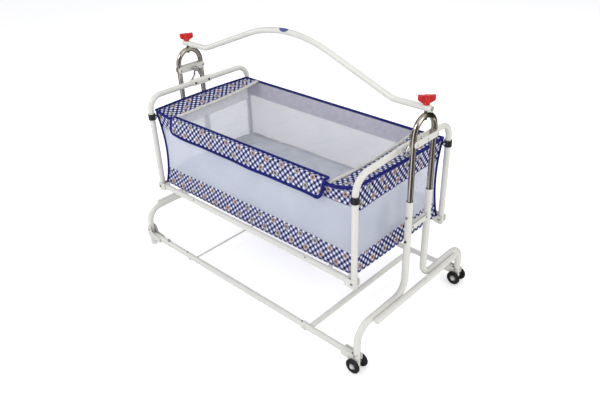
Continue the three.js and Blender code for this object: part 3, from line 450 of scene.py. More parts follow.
def fill_net(g, source):
    """Net: round holes on a staggered lattice, so the cloth is where neither of two cosine hills is high."""
    x, y, _ = g.parts(source.outputs["Vector"])
    count = g.maths("MULTIPLY", source.outputs["Holes"], 2 * math.pi)
    hills = g.maths("MULTIPLY", g.maths("COSINE", g.maths("MULTIPLY", x, count)),
                    g.maths("COSINE", g.maths("MULTIPLY", y, count)))
    slow = g.noise(source.outputs["Vector"], 7.0, 2.0)
    return {"Thread": g.between(hills, 0.75, -0.1), "Uneven": g.between(slow, 0.35, 0.65)}


surface_group = group("painted_surface", [("Vector", VECTOR, None), ("Scale", FLOAT, 900.0)],
                      [("Height", FLOAT), ("Mottle", FLOAT), ("Smudge", FLOAT)], fill_surface)
check_group = group("bias_check", [("Vector", VECTOR, None), ("Pitch", FLOAT, 0.0156)], [("Depth", FLOAT)],
                    fill_check)
flower_group = group("little_flowers", [("Vector", VECTOR, None), ("Wide", FLOAT, 0.064), ("Tall", FLOAT, 0.036),
                                        ("Radius", FLOAT, 0.0120)],
                     [("Petals", FLOAT), ("Line", FLOAT), ("Heart", FLOAT), ("Tint", FLOAT)], fill_flowers)
weave_group = group("plain_weave", [("Vector", VECTOR, None), ("Threads", FLOAT, 900.0)],
                    [("Height", FLOAT), ("Uneven", FLOAT)], fill_weave)
net_group = group("fine_net", [("Vector", VECTOR, None), ("Holes", FLOAT, 260.0)],
                  [("Thread", FLOAT), ("Uneven", FLOAT)], fill_net)


def material(name, fill, roughness=0.5, metallic=0.0, sockets=None):
    """A material whose shader stays here: fill gives what feeds its sockets, and sockets are plain numbers."""
    made = bpy.data.materials.new(name)
    made.use_nodes = True
    g = Graph(made.node_tree)
    shader = made.node_tree.nodes["Principled BSDF"]
    shader.inputs["Roughness"].default_value = roughness
    shader.inputs["Metallic"].default_value = metallic
    for key, value in (sockets or {}).items():
        shader.inputs[key].default_value = value
    for key, value in fill(g).items():
        made.node_tree.links.new(value, shader.inputs[key])
    return made


def bump(g, height, distance, strength=1.0):
    """The normal of a skin whose relief is height times distance, in metres."""
    return g.node("ShaderNodeBump", {"Height": height, "Distance": distance, "Strength": strength}).outputs[0]


def plain(name, light, dark, roughness, spread=0.06, metallic=0.0, scale=900.0, depth=0.00004, sockets=None):
    """Paint, plate, rubber or plastic: two close colours mottled, gloss that varies and a fine skin."""

    def fill(g):
        place = g.node("ShaderNodeTexCoord").outputs["Object"]
        skin = g.node("ShaderNodeGroup", {"Vector": place, "Scale": scale}, node_tree=surface_group)
        gloss = g.node("ShaderNodeMapRange", {0: skin.outputs["Smudge"], 3: roughness - spread,
                                              4: roughness + spread}).outputs[0]
        return {"Base Color": g.mix(skin.outputs["Mottle"], (*light, 1), (*dark, 1)), "Roughness": gloss,
                "Normal": bump(g, skin.outputs["Height"], depth)}

    return material(name, fill, roughness, metallic, sockets)


def own_map(g):
    """Each point's place on its own cloth, in metres."""
    return g.node("ShaderNodeUVMap", uv_map="UVMap").outputs[0]


def cloth(name, fill_colour, roughness=0.9, threads=900.0, depth=0.00012, sockets=None):
    """Cloth on its own map: a colour made by fill_colour, shaded and raised by its weave."""

    def fill(g):
        place = own_map(g)
        weave = g.node("ShaderNodeGroup", {"Vector": place, "Threads": threads}, node_tree=weave_group)
        colour = fill_colour(g, place)
        shade = g.maths("MULTIPLY", g.maths("SUBTRACT", 1.0, weave.outputs["Uneven"]), 0.10)
        return {"Base Color": g.mix(shade, colour, (0.02, 0.02, 0.04, 1)),
                "Normal": bump(g, weave.outputs["Height"], depth, 0.6)}

    return material(name, fill, roughness, 0.0, sockets)


def checked_colour(g, place, middle=(0.155, 0.165, 0.37, 1)):
    """The printed cotton: the check's depth picks white, middle or navy, and over it lie the flowers, each with
    tinted petals, a pale line round them and a brown heart."""
    check = g.node("ShaderNodeGroup", {"Vector": place}, node_tree=check_group)
    flower = g.node("ShaderNodeGroup", {"Vector": place}, node_tree=flower_group)
    ramp = g.node("ShaderNodeValToRGB", {0: check.outputs["Depth"]})
    steps = ramp.color_ramp.elements
    steps[0].color, steps[1].color = (0.76, 0.78, 0.86, 1), (0.001, 0.002, 0.030, 1)
    steps.new(0.5).color = middle
    petals = g.mix(flower.outputs["Tint"], (0.33, 0.35, 0.32, 1), (0.45, 0.31, 0.26, 1))
    bloom = g.mix(flower.outputs["Heart"], petals, (0.16, 0.065, 0.03, 1))
    bloom = g.mix(flower.outputs["Line"], bloom, (0.62, 0.56, 0.56, 1))
    return g.mix(flower.outputs["Petals"], ramp.outputs[0], bloom)


def one_colour(light, dark):
    """Plain dyed cloth: two close colours in cloudy patches."""

    def fill(g, place):
        return g.mix(g.between(g.noise(place, 60.0, 3.0), 0.35, 0.65), (*light, 1), (*dark, 1))

    return fill


def net(name, light, dark, low, high, creases=0.0):
    """Sheer net: its threads cover from low to high of what is behind, with faint slack arcs."""

    def fill(g):
        place = own_map(g)
        weave = g.node("ShaderNodeGroup", {"Vector": place}, node_tree=net_group)
        cover = g.node("ShaderNodeMapRange", {0: weave.outputs["Thread"], 3: low, 4: high}).outputs[0]
        if creases:
            wave = g.node("ShaderNodeTexWave", {"Vector": place, "Scale": 3.0, "Distortion": 9.0, "Detail": 1.5,
                                                "Detail Scale": 0.6}).outputs["Fac"]
            line = g.maths("MULTIPLY", g.between(wave, 0.86, 1.0), creases)
            cover = g.maths("ADD", cover, line, clamp=True)
        return {"Base Color": g.mix(weave.outputs["Uneven"], (*light, 1), (*dark, 1)), "Alpha": cover}

    return material(name, fill, 0.85)


MATT = {"Specular IOR Level": 0.2}
paint = plain("cream_paint", (0.74, 0.735, 0.69), (0.72, 0.715, 0.665), 0.34, 0.05, depth=0.000015,
              sockets={"Coat Weight": 0.35, "Coat Roughness": 0.2})
chrome = plain("chrome_plate", (0.555, 0.51, 0.455), (0.475, 0.43, 0.375), 0.09, 0.04, 1.0, 260.0, 0.00001)
steel = plain("oiled_steel", (0.16, 0.155, 0.15), (0.09, 0.085, 0.08), 0.38, 0.1, 0.9, 700.0, 0.00006)
zinc = plain("zinc_steel", (0.55, 0.55, 0.54), (0.42, 0.42, 0.41), 0.30, 0.1, 0.9, 700.0, 0.00003)
blue = plain("blue_patch", (0.03, 0.05, 0.22), (0.10, 0.14, 0.36), 0.40, 0.1, 0, 300.0, 0.00002)
rubber = plain("black_rubber", (0.012, 0.012, 0.013), (0.020, 0.019, 0.018), 0.66, 0.12, 0, 500.0, 0.00008,
               {"Specular IOR Level": 0.25})
nylon = plain("grey_nylon", (0.33, 0.33, 0.33), (0.26, 0.26, 0.26), 0.42, 0.08, 0, 600.0, 0.00003)
glide = plain("pale_nylon", (0.66, 0.67, 0.65), (0.58, 0.59, 0.57), 0.48, 0.08, 0, 600.0, 0.00003)
red = plain("red_plastic", (0.66, 0.015, 0.018), (0.52, 0.010, 0.012), 0.30, 0.07, 0, 500.0, 0.00003,
            sockets={"Coat Weight": 0.3})
black = plain("black_nylon", (0.014, 0.015, 0.018), (0.022, 0.023, 0.026), 0.42, 0.08, 0, 500.0, 0.00004)
# Black parts, and painted shade: dark rings, plates and discs that stand for the shade in slots, sockets, holes and
# the gap at each upright's mouth
dark = plain("black_parts_and_painted_shade", (0.02, 0.02, 0.02), (0.03, 0.03, 0.03), 0.7, 0.1, 0, 500.0, 0.00003)
checked = cloth("checked_cotton", checked_colour, sockets=MATT)
checked_end = cloth("checked_cotton_end", lambda g, place: checked_colour(g, place, (0.085, 0.095, 0.27, 1)),
                    sockets=MATT)
reverse = cloth("cotton_reverse", one_colour((0.54, 0.52, 0.62), (0.48, 0.46, 0.56)))
lining = cloth("pale_lining", one_colour((0.97, 0.965, 0.99), (0.92, 0.915, 0.95)))
navy = cloth("navy_binding", one_colour((0.010, 0.014, 0.19), (0.006, 0.009, 0.12)), 0.85, 700.0, 0.0002, MATT)
elastic = cloth("cream_elastic", one_colour((0.66, 0.65, 0.61), (0.56, 0.55, 0.51)), 0.85, 500.0, 0.0004)
inner_tape = cloth("inner_tape", one_colour((0.78, 0.79, 0.92), (0.70, 0.71, 0.85)), 0.9, 600.0, 0.0002)


def ticking_colour(g, place):
    """The mattress's cover: paler on top than along its two long edges."""
    uneven = g.between(g.noise(place, 14.0, 3.0), 0.35, 0.65)
    top = g.mix(uneven, (0.53, 0.575, 0.63, 1), (0.46, 0.505, 0.57, 1))
    edge = g.mix(uneven, (0.435, 0.45, 0.505, 1), (0.375, 0.39, 0.455, 1))
    aside = g.maths("ABSOLUTE", g.parts(place)[1])
    return g.mix(g.between(aside, 0.176, 0.190), top, edge)


ticking = cloth("mattress_ticking", ticking_colour, 0.92, 500.0, 0.0003)
wall_net = net("wall_net", (0.63, 0.68, 0.81), (0.585, 0.64, 0.77), 0.30, 0.55)
inner_net = net("inner_net", (0.86, 0.85, 0.88), (0.81, 0.80, 0.83), 0.30, 0.55)
rear_net = net("rear_net", (0.575, 0.56, 0.57), (0.525, 0.515, 0.525), 0.30, 0.55)
cover_net = net("cover_net", (0.74, 0.74, 0.80), (0.66, 0.66, 0.74), 0.03, 0.10, creases=0.02)


# ---------------------------------------------------------------- stand
def leg(side, end):
    """An upright, a low run and a foot in one bent tube; the front ones carry the lock screw and the spare hole."""
    x, y, foot = end * STAND_X, side * UPRIGHT_Y, 14 if end > 0 else 4.3
    shell = Shell()
    tube(shell, bent([(x, y, UPRIGHT_TOP), (x, y, LOW_RUN), (x, side * FOOT_Y, LOW_RUN), (x, side * FOOT_Y, foot)],
                     [50, 58]), LEG_R, LEG_BORE)
    # Painted shade: a dark lip between the upright's mouth and the hoop stands for the shade in the gap there
    turned(shell, [(9.15, -6), (9.5, -6), (10.4, 1.4), (10.0, 1.9), (9.15, 1.6), (9.15, -6)],
           [x, y, UPRIGHT_TOP], Z, 2, 32)
    if side < 0:
        at = np.array([x, y - LEG_R, LOCK_Z])
        head(shell, at, -Y, 5, 2.6, 1)
        # A dark plate across the lock screw's head: painted shade for its slot
        slab(shell, outline_box(7, 1.4, 0.3, 2), 0.8, at - [0, 2.7, 0], unit(X + 0.6 * Z), unit(Z - 0.6 * X), 2, 0.2)
        low = at - [0, 0, HOLE_STEP]
        if end > 0:
            head(shell, low, -Y, 4.4, 4.0, 2)
        else:
            turned(shell, soft([(0, -1), (3.2, -1), (3.2, 0.25), (4.2, 0.35), (4.4, -1)], 0.2), low, -Y, 0, 20)
            # A dark disc inside the left grommet: painted shade for its hole
            disc(shell, low, -Y, 3.3, -0.6, -0.2, 2, 20)
    return shell


for end_name, end in ENDS:
    for side_name, side in SIDES:
        leg(side, end).build(f"leg_tube_{side_name}_{end_name}", [paint, zinc, dark], "stand", "white_paint",
                             [f"leg_{side_name}_{end_name}"])
    shell = Shell()
    tube(shell, straight((end * TIE_X, -TIE_Y, LOW_RUN), (end * TIE_X, TIE_Y, LOW_RUN)), TIE_R, lip=1.4)
    shell.build(f"tie_bar_{end_name}", [paint], "stand", "white_paint", [f"tie_tube_{end_name}"])
    # The bar between the uprights is a channel open below: a top and two sides with eased edges
    shell = Shell()
    slab(shell, outline_box(15, 83, 1.2), 2, np.array([end * STAND_X, 0, BAR_Z + 9.0]), X, Y)
    for away in (-6.5, 6.5):
        slab(shell, outline_box(83, 20, 1.0), 2, np.array([end * STAND_X + away, 0, BAR_Z]), Y, Z)
    for place in (-37, 37):
        head(shell, [end * (STAND_X + 7.5), place, BAR_Z], end * X, 3.6, 1.4, 1)
    shell.build(f"upright_channel_{end_name}", [paint, zinc], "stand", "white_paint", [f"upright_bar_{end_name}"])


def bracket(side, end):
    """A folded channel round the rail's end and the leg: two eared sides, a floor and two rivets. The left ones
    rise along the leg as a gusset."""
    shell = Shell()
    if end < 0:
        reach, rivet = 66, 24
        corners = [(11, 18), (11, -6), (2, -13), (4 - reach, -13), (-reach, -8), (-reach, 8), (-60, 10), (-30, 12),
                   (-17, 22), (-13, 42), (6, 42)]
        radii = [4, 7, 5, 2, 2, 3, 3, 14, 10, 2, 6]
    else:
        reach, rivet = 54, 10
        corners = [(11, 12.6), (11, -12.6), (-reach, -12.6), (-reach, 8), (4 - reach, 12.6)]
        radii = [3, 4, 2, 2, 2]
    outline = handed(rounded(corners, radii, 15), end)
    place = np.array([end * STAND_X, side * FOOT_Y, RAIL_Z], float)
    for away in (-12.3, 12.3):
        slab(shell, outline, 2, place + [0, away, 0], X, Z)
    slab(shell, outline_box(reach - 12, 26, 1), 2, place + [end * -(reach + 12) / 2, 0, -11.8], X, Y)
    for away in (-13.3, 13.3):
        out = np.sign(away) * Y
        head(shell, place + [0, away, rivet], out, 4.0, 1.6, 1)
        head(shell, place + [end * -30, away, 0], out, 4.0, 1.6, 0)
    return shell


for side_name, side in SIDES:
    for end_name, end in ENDS:
        bracket(side, end).build(f"foot_channel_{side_name}_{end_name}", [paint, zinc], "stand", "white_paint",
                                 [f"foot_bracket_{side_name}_{end_name}"])
    shell = Shell()
    tube(shell, straight((-RAIL_END, side * FOOT_Y, RAIL_Z), (RAIL_END, side * FOOT_Y, RAIL_Z)), RAIL_R, RAIL_BORE, Y)
    # The bolt that stops the folding joint, with its nut below
    turned(shell, soft([(0, -14.5), (2.8, -14.5), (2.8, -13.5), (5, -13.5), (5, -9.6), (5, 9.6), (5.2, 9.8),
                        (5.2, 15.4), (4.2, 17.2), (0, 17.6)], 0.6), [-421, side * FOOT_Y, RAIL_Z], Z, 2, 24)
    shell.build(f"base_rail_tube_{side_name}", [paint, steel, zinc], "stand", "white_paint",
                [f"base_rail_{side_name}"])


def cross_member(place, radius, collar, clamp, node, name):
    """A bar along Y into both rails. Its screw goes down through the rail beside it, at collar, into a lug below;
    where there is a clamp, a ring with a lip holds the rail there."""
    shell = Shell()
    tube(shell, straight((place, -CROSS_END, RAIL_Z), (place, CROSS_END, RAIL_Z)), radius)
    for _, side in SIDES:
        centre = np.array([collar, side * FOOT_Y, RAIL_Z], float)
        if clamp:
            turned(shell, soft(mirrored([(9.8, -7), (13.0, -7), (13.2, -5), (12.4, -3)]), 0.5), centre, X)
        turned(shell, soft([(0, 9), (5.6, 9), (5.6, 14), (4.8, 19), (0, 20.3)], 0.8), centre, -Z, 0, 20)
        head(shell, centre + [-12, 0, 9.6], Z, 3.0, 1.6, 1)
    shell.build(name, [paint, steel], "stand", "white_paint", [node])


cross_member(338, 9, 318, True, "base_crossbar", "floor_crossbar")
cross_member(-258, 3.5, -291, False, "base_tie_rod", "floor_tie_rod")


def cap(centre):
    """A moulded foot cap: a cup with a rounded foot, a rolled lip and a shallow groove."""
    shell = Shell()
    profile = soft([(0, 5), (11.2, 5), (11.2, 24), (12.2, 24), (12.2, 17), (11.8, 16), (11.8, 13), (12.3, 12),
                    (12.3, 6), (10.6, 2), (7.5, 0), (0, 0)], 0.9)
    turned(shell, profile, centre, Z)
    return shell


for side_name, side in SIDES:
    cap([-STAND_X, side * FOOT_Y, 0]).build(f"glide_{side_name}", [glide], "stand", "glide_plastic",
                                            [f"foot_cap_{side_name}"])


def wheel_axle(side):
    """A bolt through the leg with a domed head at each end."""
    shell = Shell()
    centre = np.array([STAND_X, side * FOOT_Y, WHEEL_R], float)
    disc(shell, centre, Y, 4, -26.4, 26.4, 0, 36)
    for way in (-1, 1):
        head(shell, centre + way * 26.6 * Y, way * Y, 6.5, 3.5, 1)
    return shell


def tyre(centre):
    """A tyre: a flat tread with rounded shoulders, two grooves round it and sidewalls that step in to the seat."""
    shell = Shell()
    w, groove = WHEEL_WIDE / 2, WHEEL_R - 0.7
    half = [(14.3, -w + 0.6), (15.6, -w), (19.8, -w), (21.0, -w + 0.7), (23.6, -w * 0.75), (WHEEL_R, -w * 0.35),
            (WHEEL_R, -1.9), (groove, -1.6), (groove, -1.2), (WHEEL_R, -0.9)]
    turned(shell, soft(mirrored(half), 0.3), centre, Y, 0, 64)
    return shell


def hub(centre, out):
    """A hub: a black rim, a dished web with six ribs and a raised pale boss; out points away from the leg."""
    shell = Shell()
    profile = soft([(4.3, -9), (7, -9), (7, -6), (14, -6), (14, 4.9), (13, 5.6), (12.2, 5.2), (11.8, 3.2), (8, 2.4),
                    (7.2, 3), (6.8, 6), (4.3, 6), (4.3, -9)], 0.4)
    looks = np.select([profile[1:, 0] > 11.7, (profile[1:, 0] < 7.6) & (profile[1:, 1] > 2)], [1, 2], 0)
    turned(shell, profile, centre, out, np.repeat(looks[:, None], 64, 1), 64)
    for k in range(6):
        a = k * math.pi / 3 + 0.26
        u = math.cos(a) * X + math.sin(a) * Z
        slab(shell, outline_box(5.6, 2.0, 0.4, 3), 1.8, centre + 9.6 * u + 3.4 * out, u, np.cross(out, u), 0, 0.4)
    return shell


for side_name, side in SIDES:
    wheel_axle(side).build(f"axle_{side_name}", [zinc, glide], "stand", "dark_steel", [f"wheel_axle_{side_name}"])
    for letter, way in (("a", -1), ("b", 1)):
        centre = np.array([STAND_X, side * FOOT_Y + way * (WHEEL_IN + WHEEL_WIDE / 2), WHEEL_R], float)
        body = f"wheel_{side_name}_{letter}"
        tyre(centre).build(f"rubber_tyre_{side_name}_{letter}", [rubber], body, "tyre_rubber",
                           [f"tyre_{side_name}_{letter}"])
        hub(centre, way * Y).build(f"wheel_hub_{side_name}_{letter}", [nylon, rubber, glide], body, "hub_plastic",
                                   [f"hub_{side_name}_{letter}"])


# ---------------------------------------------------------------- hoops and bow
def hoop(end):
    """Two legs and a half circle over them in one chrome tube, with a weld nut under the crown and a spacer on it."""
    x, y = end * STAND_X, UPRIGHT_Y
    shell = Shell()
    tube(shell, bent([(x, -y, HOOP_FOOT), (x, -y, HOOP_CROWN), (x, y, HOOP_CROWN), (x, y, HOOP_FOOT)], [y, y], 4),
         HOOP_R, HOOP_BORE, sides=32)
    washer(shell, [x, 0, HOOP_CROWN], Z, 3.3, 5.0, -13, -8, 0.4, 1, 6)
    washer(shell, [x, 0, HOOP_CROWN], Z, 3.3, 4.6, 8.4, 13, 0.4, 1, 24)
    return shell


def slotted(shell, place, out, radius, height):
    """A painted domed bolt head with a thin dark plate laid across it, aslant: painted shade for its slot."""
    head(shell, place, out, radius, height)
    u = unit(Z + 0.8 * np.cross(Z, out))
    slab(shell, outline_box(radius * 1.4, 2.0, 0.4, 3), 0.8, place + (height - 0.1) * out, u, np.cross(out, u), 2, 0.2)


def bridge(end):
    """Two round-ended plates across the hoop with a bolt at each end."""
    shell = Shell()
    a = np.linspace(-math.pi / 2, math.pi / 2, 13)
    arc = np.column_stack([UPRIGHT_Y + 10 * np.cos(a), 10 * np.sin(a)])
    # The left one's plates are drawn deeper
    outline = np.concatenate([arc, -arc]) * (1, 1.2 if end < 0 else 1)
    for away in (-10.8, 10.8):
        slab(shell, outline, 3, np.array([end * STAND_X + away, 0, PIVOT_Z]), Y, Z)
        for place in (-UPRIGHT_Y, UPRIGHT_Y):
            out = np.sign(away) * X
            at = np.array([end * STAND_X + away * 1.14, place, PIVOT_Z])
            slotted(shell, at, out, 5, 2.2)
            # Painted shade: a dark disc in each left bolt's socket
            if end < 0:
                disc(shell, at, out, 2.6, 1.5, 2.5, 2, 20)
    return shell


def pin(end):
    """The pivot pin: a head outside the plates, a shaft through them and a grooved spool at the inner end."""
    shell = Shell()
    profile = soft([(0, -44), (10, -44), (10, -42), (6.5, -41.6), (6.5, -33.4), (10, -33), (10, -31), (4, -31),
                    (4, 12.6), (0, 12.6)], 0.4)
    turned(shell, profile, [end * STAND_X, 0, PIVOT_Z], end * X, 1, 32)
    slotted(shell, np.array([end * (STAND_X + 12.6), 0, PIVOT_Z]), end * X, 6, 2.4)
    return shell


for end_name, end in ENDS:
    hoop(end).build(f"chrome_hoop_{end_name}", [chrome, steel], "hoops", "chrome", [f"hoop_{end_name}"])
    bridge(end).build(f"hoop_plates_{end_name}", [paint, zinc, dark], "hoops", "white_paint",
                      [f"pivot_bridge_{end_name}"])
    pin(end).build(f"spool_pin_{end_name}", [paint, zinc, dark], "hoops", "dark_steel", [f"pivot_pin_{end_name}"])

shell = Shell()
bow_line = bent([(-BOW_END, 0, BOW_Z), (-BOW_BEND, 0, BOW_Z), (0, 0, BOW_Z + BOW_RISE), (BOW_BEND, 0, BOW_Z),
                 (BOW_END, 0, BOW_Z)], [80, 500, 80], 2.5)
tube(shell, bow_line, BOW_R, BOW_BORE, Y)
# A plain patch on the top of the bow: a strip of the tube's own surface whose reach round it swells and fades,
# drawn twice, the second time 3 percent nearer to the tube's axis as its back
top_x = np.linspace(-25, 15, 25)
top_z = np.interp(top_x, bow_line[:, 0], bow_line[:, 2])
reach = 0.95 * np.sin(np.pi * np.linspace(0, 1, 25)) ** 0.6
a = 0.55 + reach[:, None] * np.linspace(-1, 1, 13)[None, :]
patch = np.stack([np.broadcast_to(top_x[:, None], a.shape), -9.8 * np.sin(a), top_z[:, None] + 9.8 * np.cos(a)], -1)
core = np.stack([patch[..., 0], 0 * a, np.broadcast_to(top_z[:, None], a.shape)], -1)
shell.grid(patch[::-1], None, 1)
shell.grid(patch - (patch - core) * 0.03, None, 1)
shell.build("bow_tube", [paint, blue], "hoops", "white_paint", ["bow"])


def knob(end, turn):
    """A wing knob: a waisted round stem, a wing that widens upwards with thicker lobes at its ends, and its bolt."""
    c, s = math.cos(math.radians(turn)), math.sin(math.radians(turn))
    u, v = c * X + s * Y, -s * X + c * Y
    base = np.array([end * STAND_X, 0, BOW_Z + BOW_R + 0.3])
    shell = Shell()
    disc(shell, base, Z, 3, -46, 0, 1, 24)
    turned(shell, soft([(0, 0), (10, 0), (10, 5), (8.6, 9), (8.4, 20), (7.4, 27.6), (5, 28.4), (4.2, 26), (0, 26)],
                       0.9, 20), base, Z)
    disc(shell, base, Z, 3, 25, 26.6, 1, 24)
    wing = [(-11, 4.5), (11, 4.5), (24.6, 12.0), (24.8, 28.6), (6, 27.6), (-6, 27.6), (-24.8, 28.6), (-24.6, 12.0)]
    slab(shell, rounded(wing, [3, 3, 5, 3, 8, 8, 3, 5], 20), 11, base, u, Z, 0, 2.0)
    # Each lobe is thicker at its end
    lobe = rounded([(13, 7), (24.2, 12.8), (24.4, 28.2), (16, 27.8)], [2.5] * 4, 20)
    for way in (-1, 1):
        slab(shell, handed(lobe, way), 12.6, base, u, Z, 0, 2.4)
    return shell


knob(-1, 59).build("red_knob_left", [red, steel], "knob_left", "red_knob", ["wing_knob_left"])
knob(1, 45).build("red_knob_right", [red, steel], "knob_right", "red_knob", ["wing_knob_right"])


# ---------------------------------------------------------------- basket frame
def corner_fork(shell, side, end):
    """A folded corner: a block with round lower lobes that straddles the end frame's leg, and its rivet."""
    place = np.array([end * BASKET_X, side * BASKET_Y, BASKET_RAIL], float)
    corners = [(12, 14), (12, -8), (4, -17), (-6, -16), (-28, -11), (-28, 12), (-24, 14)]
    outline = handed(rounded(corners, [3.5] * 7, 25), end)
    for away in (-11.55, 11.55):
        slab(shell, outline, 2.5, place + [0, away, 0], X, Z)
        head(shell, place + [0, away * 1.1, 0], np.sign(away) * Y, 4.5, 2, 1)
    slab(shell, outline_box(24, 22, 2), 12, place + [end * -22, 0, 0], Y, Z)


for end_name, end in ENDS:
    x = end * BASKET_X
    shell = Shell()
    # The right one's top is bent a little down to the front
    drop, bend = (8, 56) if end > 0 else (0, 50)
    tube(shell, bent([(x, -BASKET_Y, BASKET_FOOT), (x, -BASKET_Y, BASKET_TOP - drop), (x, -48, BASKET_TOP),
                      (x, BASKET_Y, BASKET_TOP), (x, BASKET_Y, BASKET_FOOT)], [bend, 300, 50], 5),
         BASKET_R, BASKET_BORE)
    shell.build(f"end_frame_tube_{end_name}", [paint], "basket", "white_paint", [f"end_frame_{end_name}"])
    shell = Shell()
    tongue = np.array([(222, 7), (222, 18), (-222, 18), (-222, 7), (-236, 7), (-236, -7), (-222, -7), (-222, -18),
                       (222, -18), (222, -7), (236, -7), (236, 7)], float)
    slab(shell, tongue, 4, np.array([end * SLAT_X, 0, SLAT_Z]), Y, -X)
    for place in (-215, 215):
        head(shell, [end * SLAT_X, place, SLAT_Z - 2], -Z, 3.5, 1.2, 1)
    shell.build(f"slat_{end_name}", [paint, zinc], "basket", "white_paint", [f"floor_slat_{end_name}"])
for side_name, side in SIDES:
    shell = Shell()
    y = side * BASKET_Y
    tube(shell, straight((-BASKET_RAIL_END, y, BASKET_RAIL), (BASKET_RAIL_END, y, BASKET_RAIL)), BASKET_R, 0, Y)
    for _, end in ENDS:
        corner_fork(shell, side, end)
    for place in (-280, 286):
        head(shell, [place, side * (BASKET_Y + 7), BASKET_RAIL + 7], unit(side * Y + Z), 2.6, 1.0, 2)
    shell.build(f"basket_rail_tube_{side_name}", [paint, zinc, steel], "basket", "white_paint",
                [f"basket_rail_{side_name}"])


def saddle(end):
    """A folded saddle over the top tube: a web, two sides with round ends and two bolts."""
    shell = Shell()
    at = np.array([end * BASKET_X, 0, BASKET_TOP], float)
    a = np.linspace(0, np.pi, 21)
    arc = np.column_stack([np.cos(a), np.sin(a)])
    outer, inner, mean = 12.8, 10.3, 11.55

    def fold(over, under, foot):
        """A section: up one side, over a half round and down the other to its foot, then back inside it."""
        foot = np.array(foot)
        return np.concatenate([foot[-1:], arc * over, (foot * [-1, 1])[::-1], arc[::-1] * under, foot])

    # At its ends the section shrinks to the line midway through the sheet, which closes them
    section = fold(outer, inner, [(inner, -8.6), (10.9, -9.2), (12.2, -9.2), (outer, -8.6)])
    middle = fold(mean, mean, [(mean, -8.6), (mean, -8.9), (mean, -8.9), (mean, -8.6)])
    stations = np.array([-46, -46, -45.4, -40, 0, 40, 45.4, 46, 46], float)
    ease = np.array([1, 0.3, 0, 0, 0, 0, 0, 0.3, 1])
    rings = section[None] * (1 - ease[:, None, None]) + middle[None] * ease[:, None, None]
    points = at + rings[..., :1] * X + stations[:, None, None] * Y + rings[..., 1:] * Z
    shell.grid(points)
    for place in (-STRAP_Y, STRAP_Y):
        head(shell, at + [-end * outer, place, 0], -end * X, 4.6, 2.4, 2)
        head(shell, at + [end * 16.9, place, 0], end * X, 5, 2.4, 1)
        disc(shell, at + [end * 12.4, place, 0], end * X, 3, 0, 5, 1, 16)
    return shell


def strap(end):
    """A steel strap on edge that hooks over the pivot's spool, waists in below it and spreads to two eyes."""
    shell = Shell()
    lift = PIVOT_Z - BASKET_TOP
    waist = lift - 22
    r = 8.55
    flat = [(-STRAP_Y, 0), (-12, waist), (-r, lift), (-r, lift + r), (r, lift + r), (r, lift), (12, waist),
            (STRAP_Y, 0)]
    line = bent([(end * BASKET_X + end * 18.5, y, BASKET_TOP + z) for y, z in flat], [8, 8, r, r, 8, 8], 8)
    t = tangents(line)
    tape(shell, line, np.cross(t, X), 8, 3.5, sides=16, power=0.35)
    for place in (-STRAP_Y, STRAP_Y):
        washer(shell, [end * BASKET_X, place, BASKET_TOP], end * X, 3.2, 7, 13.1, 16.6, 0.5, 0, 28)
    return shell


for end_name, end in ENDS:
    saddle(end).build(f"saddle_{end_name}", [paint, zinc, dark], "basket", "white_paint",
                      [f"hanger_saddle_{end_name}"])
    strap(end).build(f"steel_strap_{end_name}", [zinc], "basket", "dark_steel", [f"hanger_strap_{end_name}"])


def clip(side, end):
    """A moulded ring clip round the end frame's leg: a band with rolled edges, a tab to the cloth and a rivet."""
    shell = Shell()
    at = np.array([end * BASKET_X, side * BASKET_Y, CLIP_Z], float)
    turned(shell, soft(mirrored([(10.3, -11), (13.1, -11), (13.5, -10), (12.9, -8)]), 0.5), at, Z)
    to = unit(np.array([-end * 11.0, -side * 13.1, 0]))
    slab(shell, outline_box(7, 12, 1.5), 9, at + to * 14.4, to, Z)
    for way in (-1, 1):
        across = np.cross(Z, to) * way
        head(shell, at + to * 14.6 + across * 4.4, across, 3.2, 1.4, 1)
    out = unit(np.array([0.35 * end, side, 0]))
    head(shell, at + out * 12.8, out, 2.8, 1.2, 1 if side > 0 else 0)
    return shell


for side_name, side in SIDES:
    for end_name, end in ENDS:
        clip(side, end).build(f"ring_clip_{side_name}_{end_name}", [black, glide], "basket", "black_clip",
                              [f"corner_clip_{side_name}_{end_name}"])


# ---------------------------------------------------------------- cloth
def rim_lift(x, y, t=1.0):
    """The rim isn't level: it slopes a little, and near each end it is drawn up to the clips by an amount that is
    a quadratic of the place across. Below the rim, at shares t of the height, the slope fades as the square of t
    and the drawing up as its sixth power."""
    u, v = x / CLOTH_X, y / CLOTH_Y
    right, left = (np.clip((way * u - 0.8) / 0.2, 0, 1) ** 1.5 for way in (1, -1))
    drawn = right * (11.5 - 10.75 * v + 2.75 * v ** 2) + left * (10 - 5.5 * v - 4.5 * v ** 2)
    return (-5.0 * u + 6.0 * v) * t ** 2 + drawn * t ** 6


# How far each corner's seam bows in along the cradle and across it
CORNER_BOW = {(-1, -1): (25, 6), (-1, 1): (12, 8), (1, -1): (7, 6), (1, 1): (12, 8)}


def corner_line(sx, sy, t):
    """A corner's seam at shares t of the wall's height: it bows in by its own amounts times the sine of t half
    turns to the power 0.7, so most at the middle."""
    bow = np.sin(np.pi * np.clip(t, 0, 1)) ** 0.7
    dx, dy = CORNER_BOW[sx, sy]
    x, y = sx * (CLOTH_X - 1 - dx * bow), sy * (CLOTH_Y - 1 - dy * bow)
    return np.stack([x, y, HEM + t * (RIM - HEM)], -1)


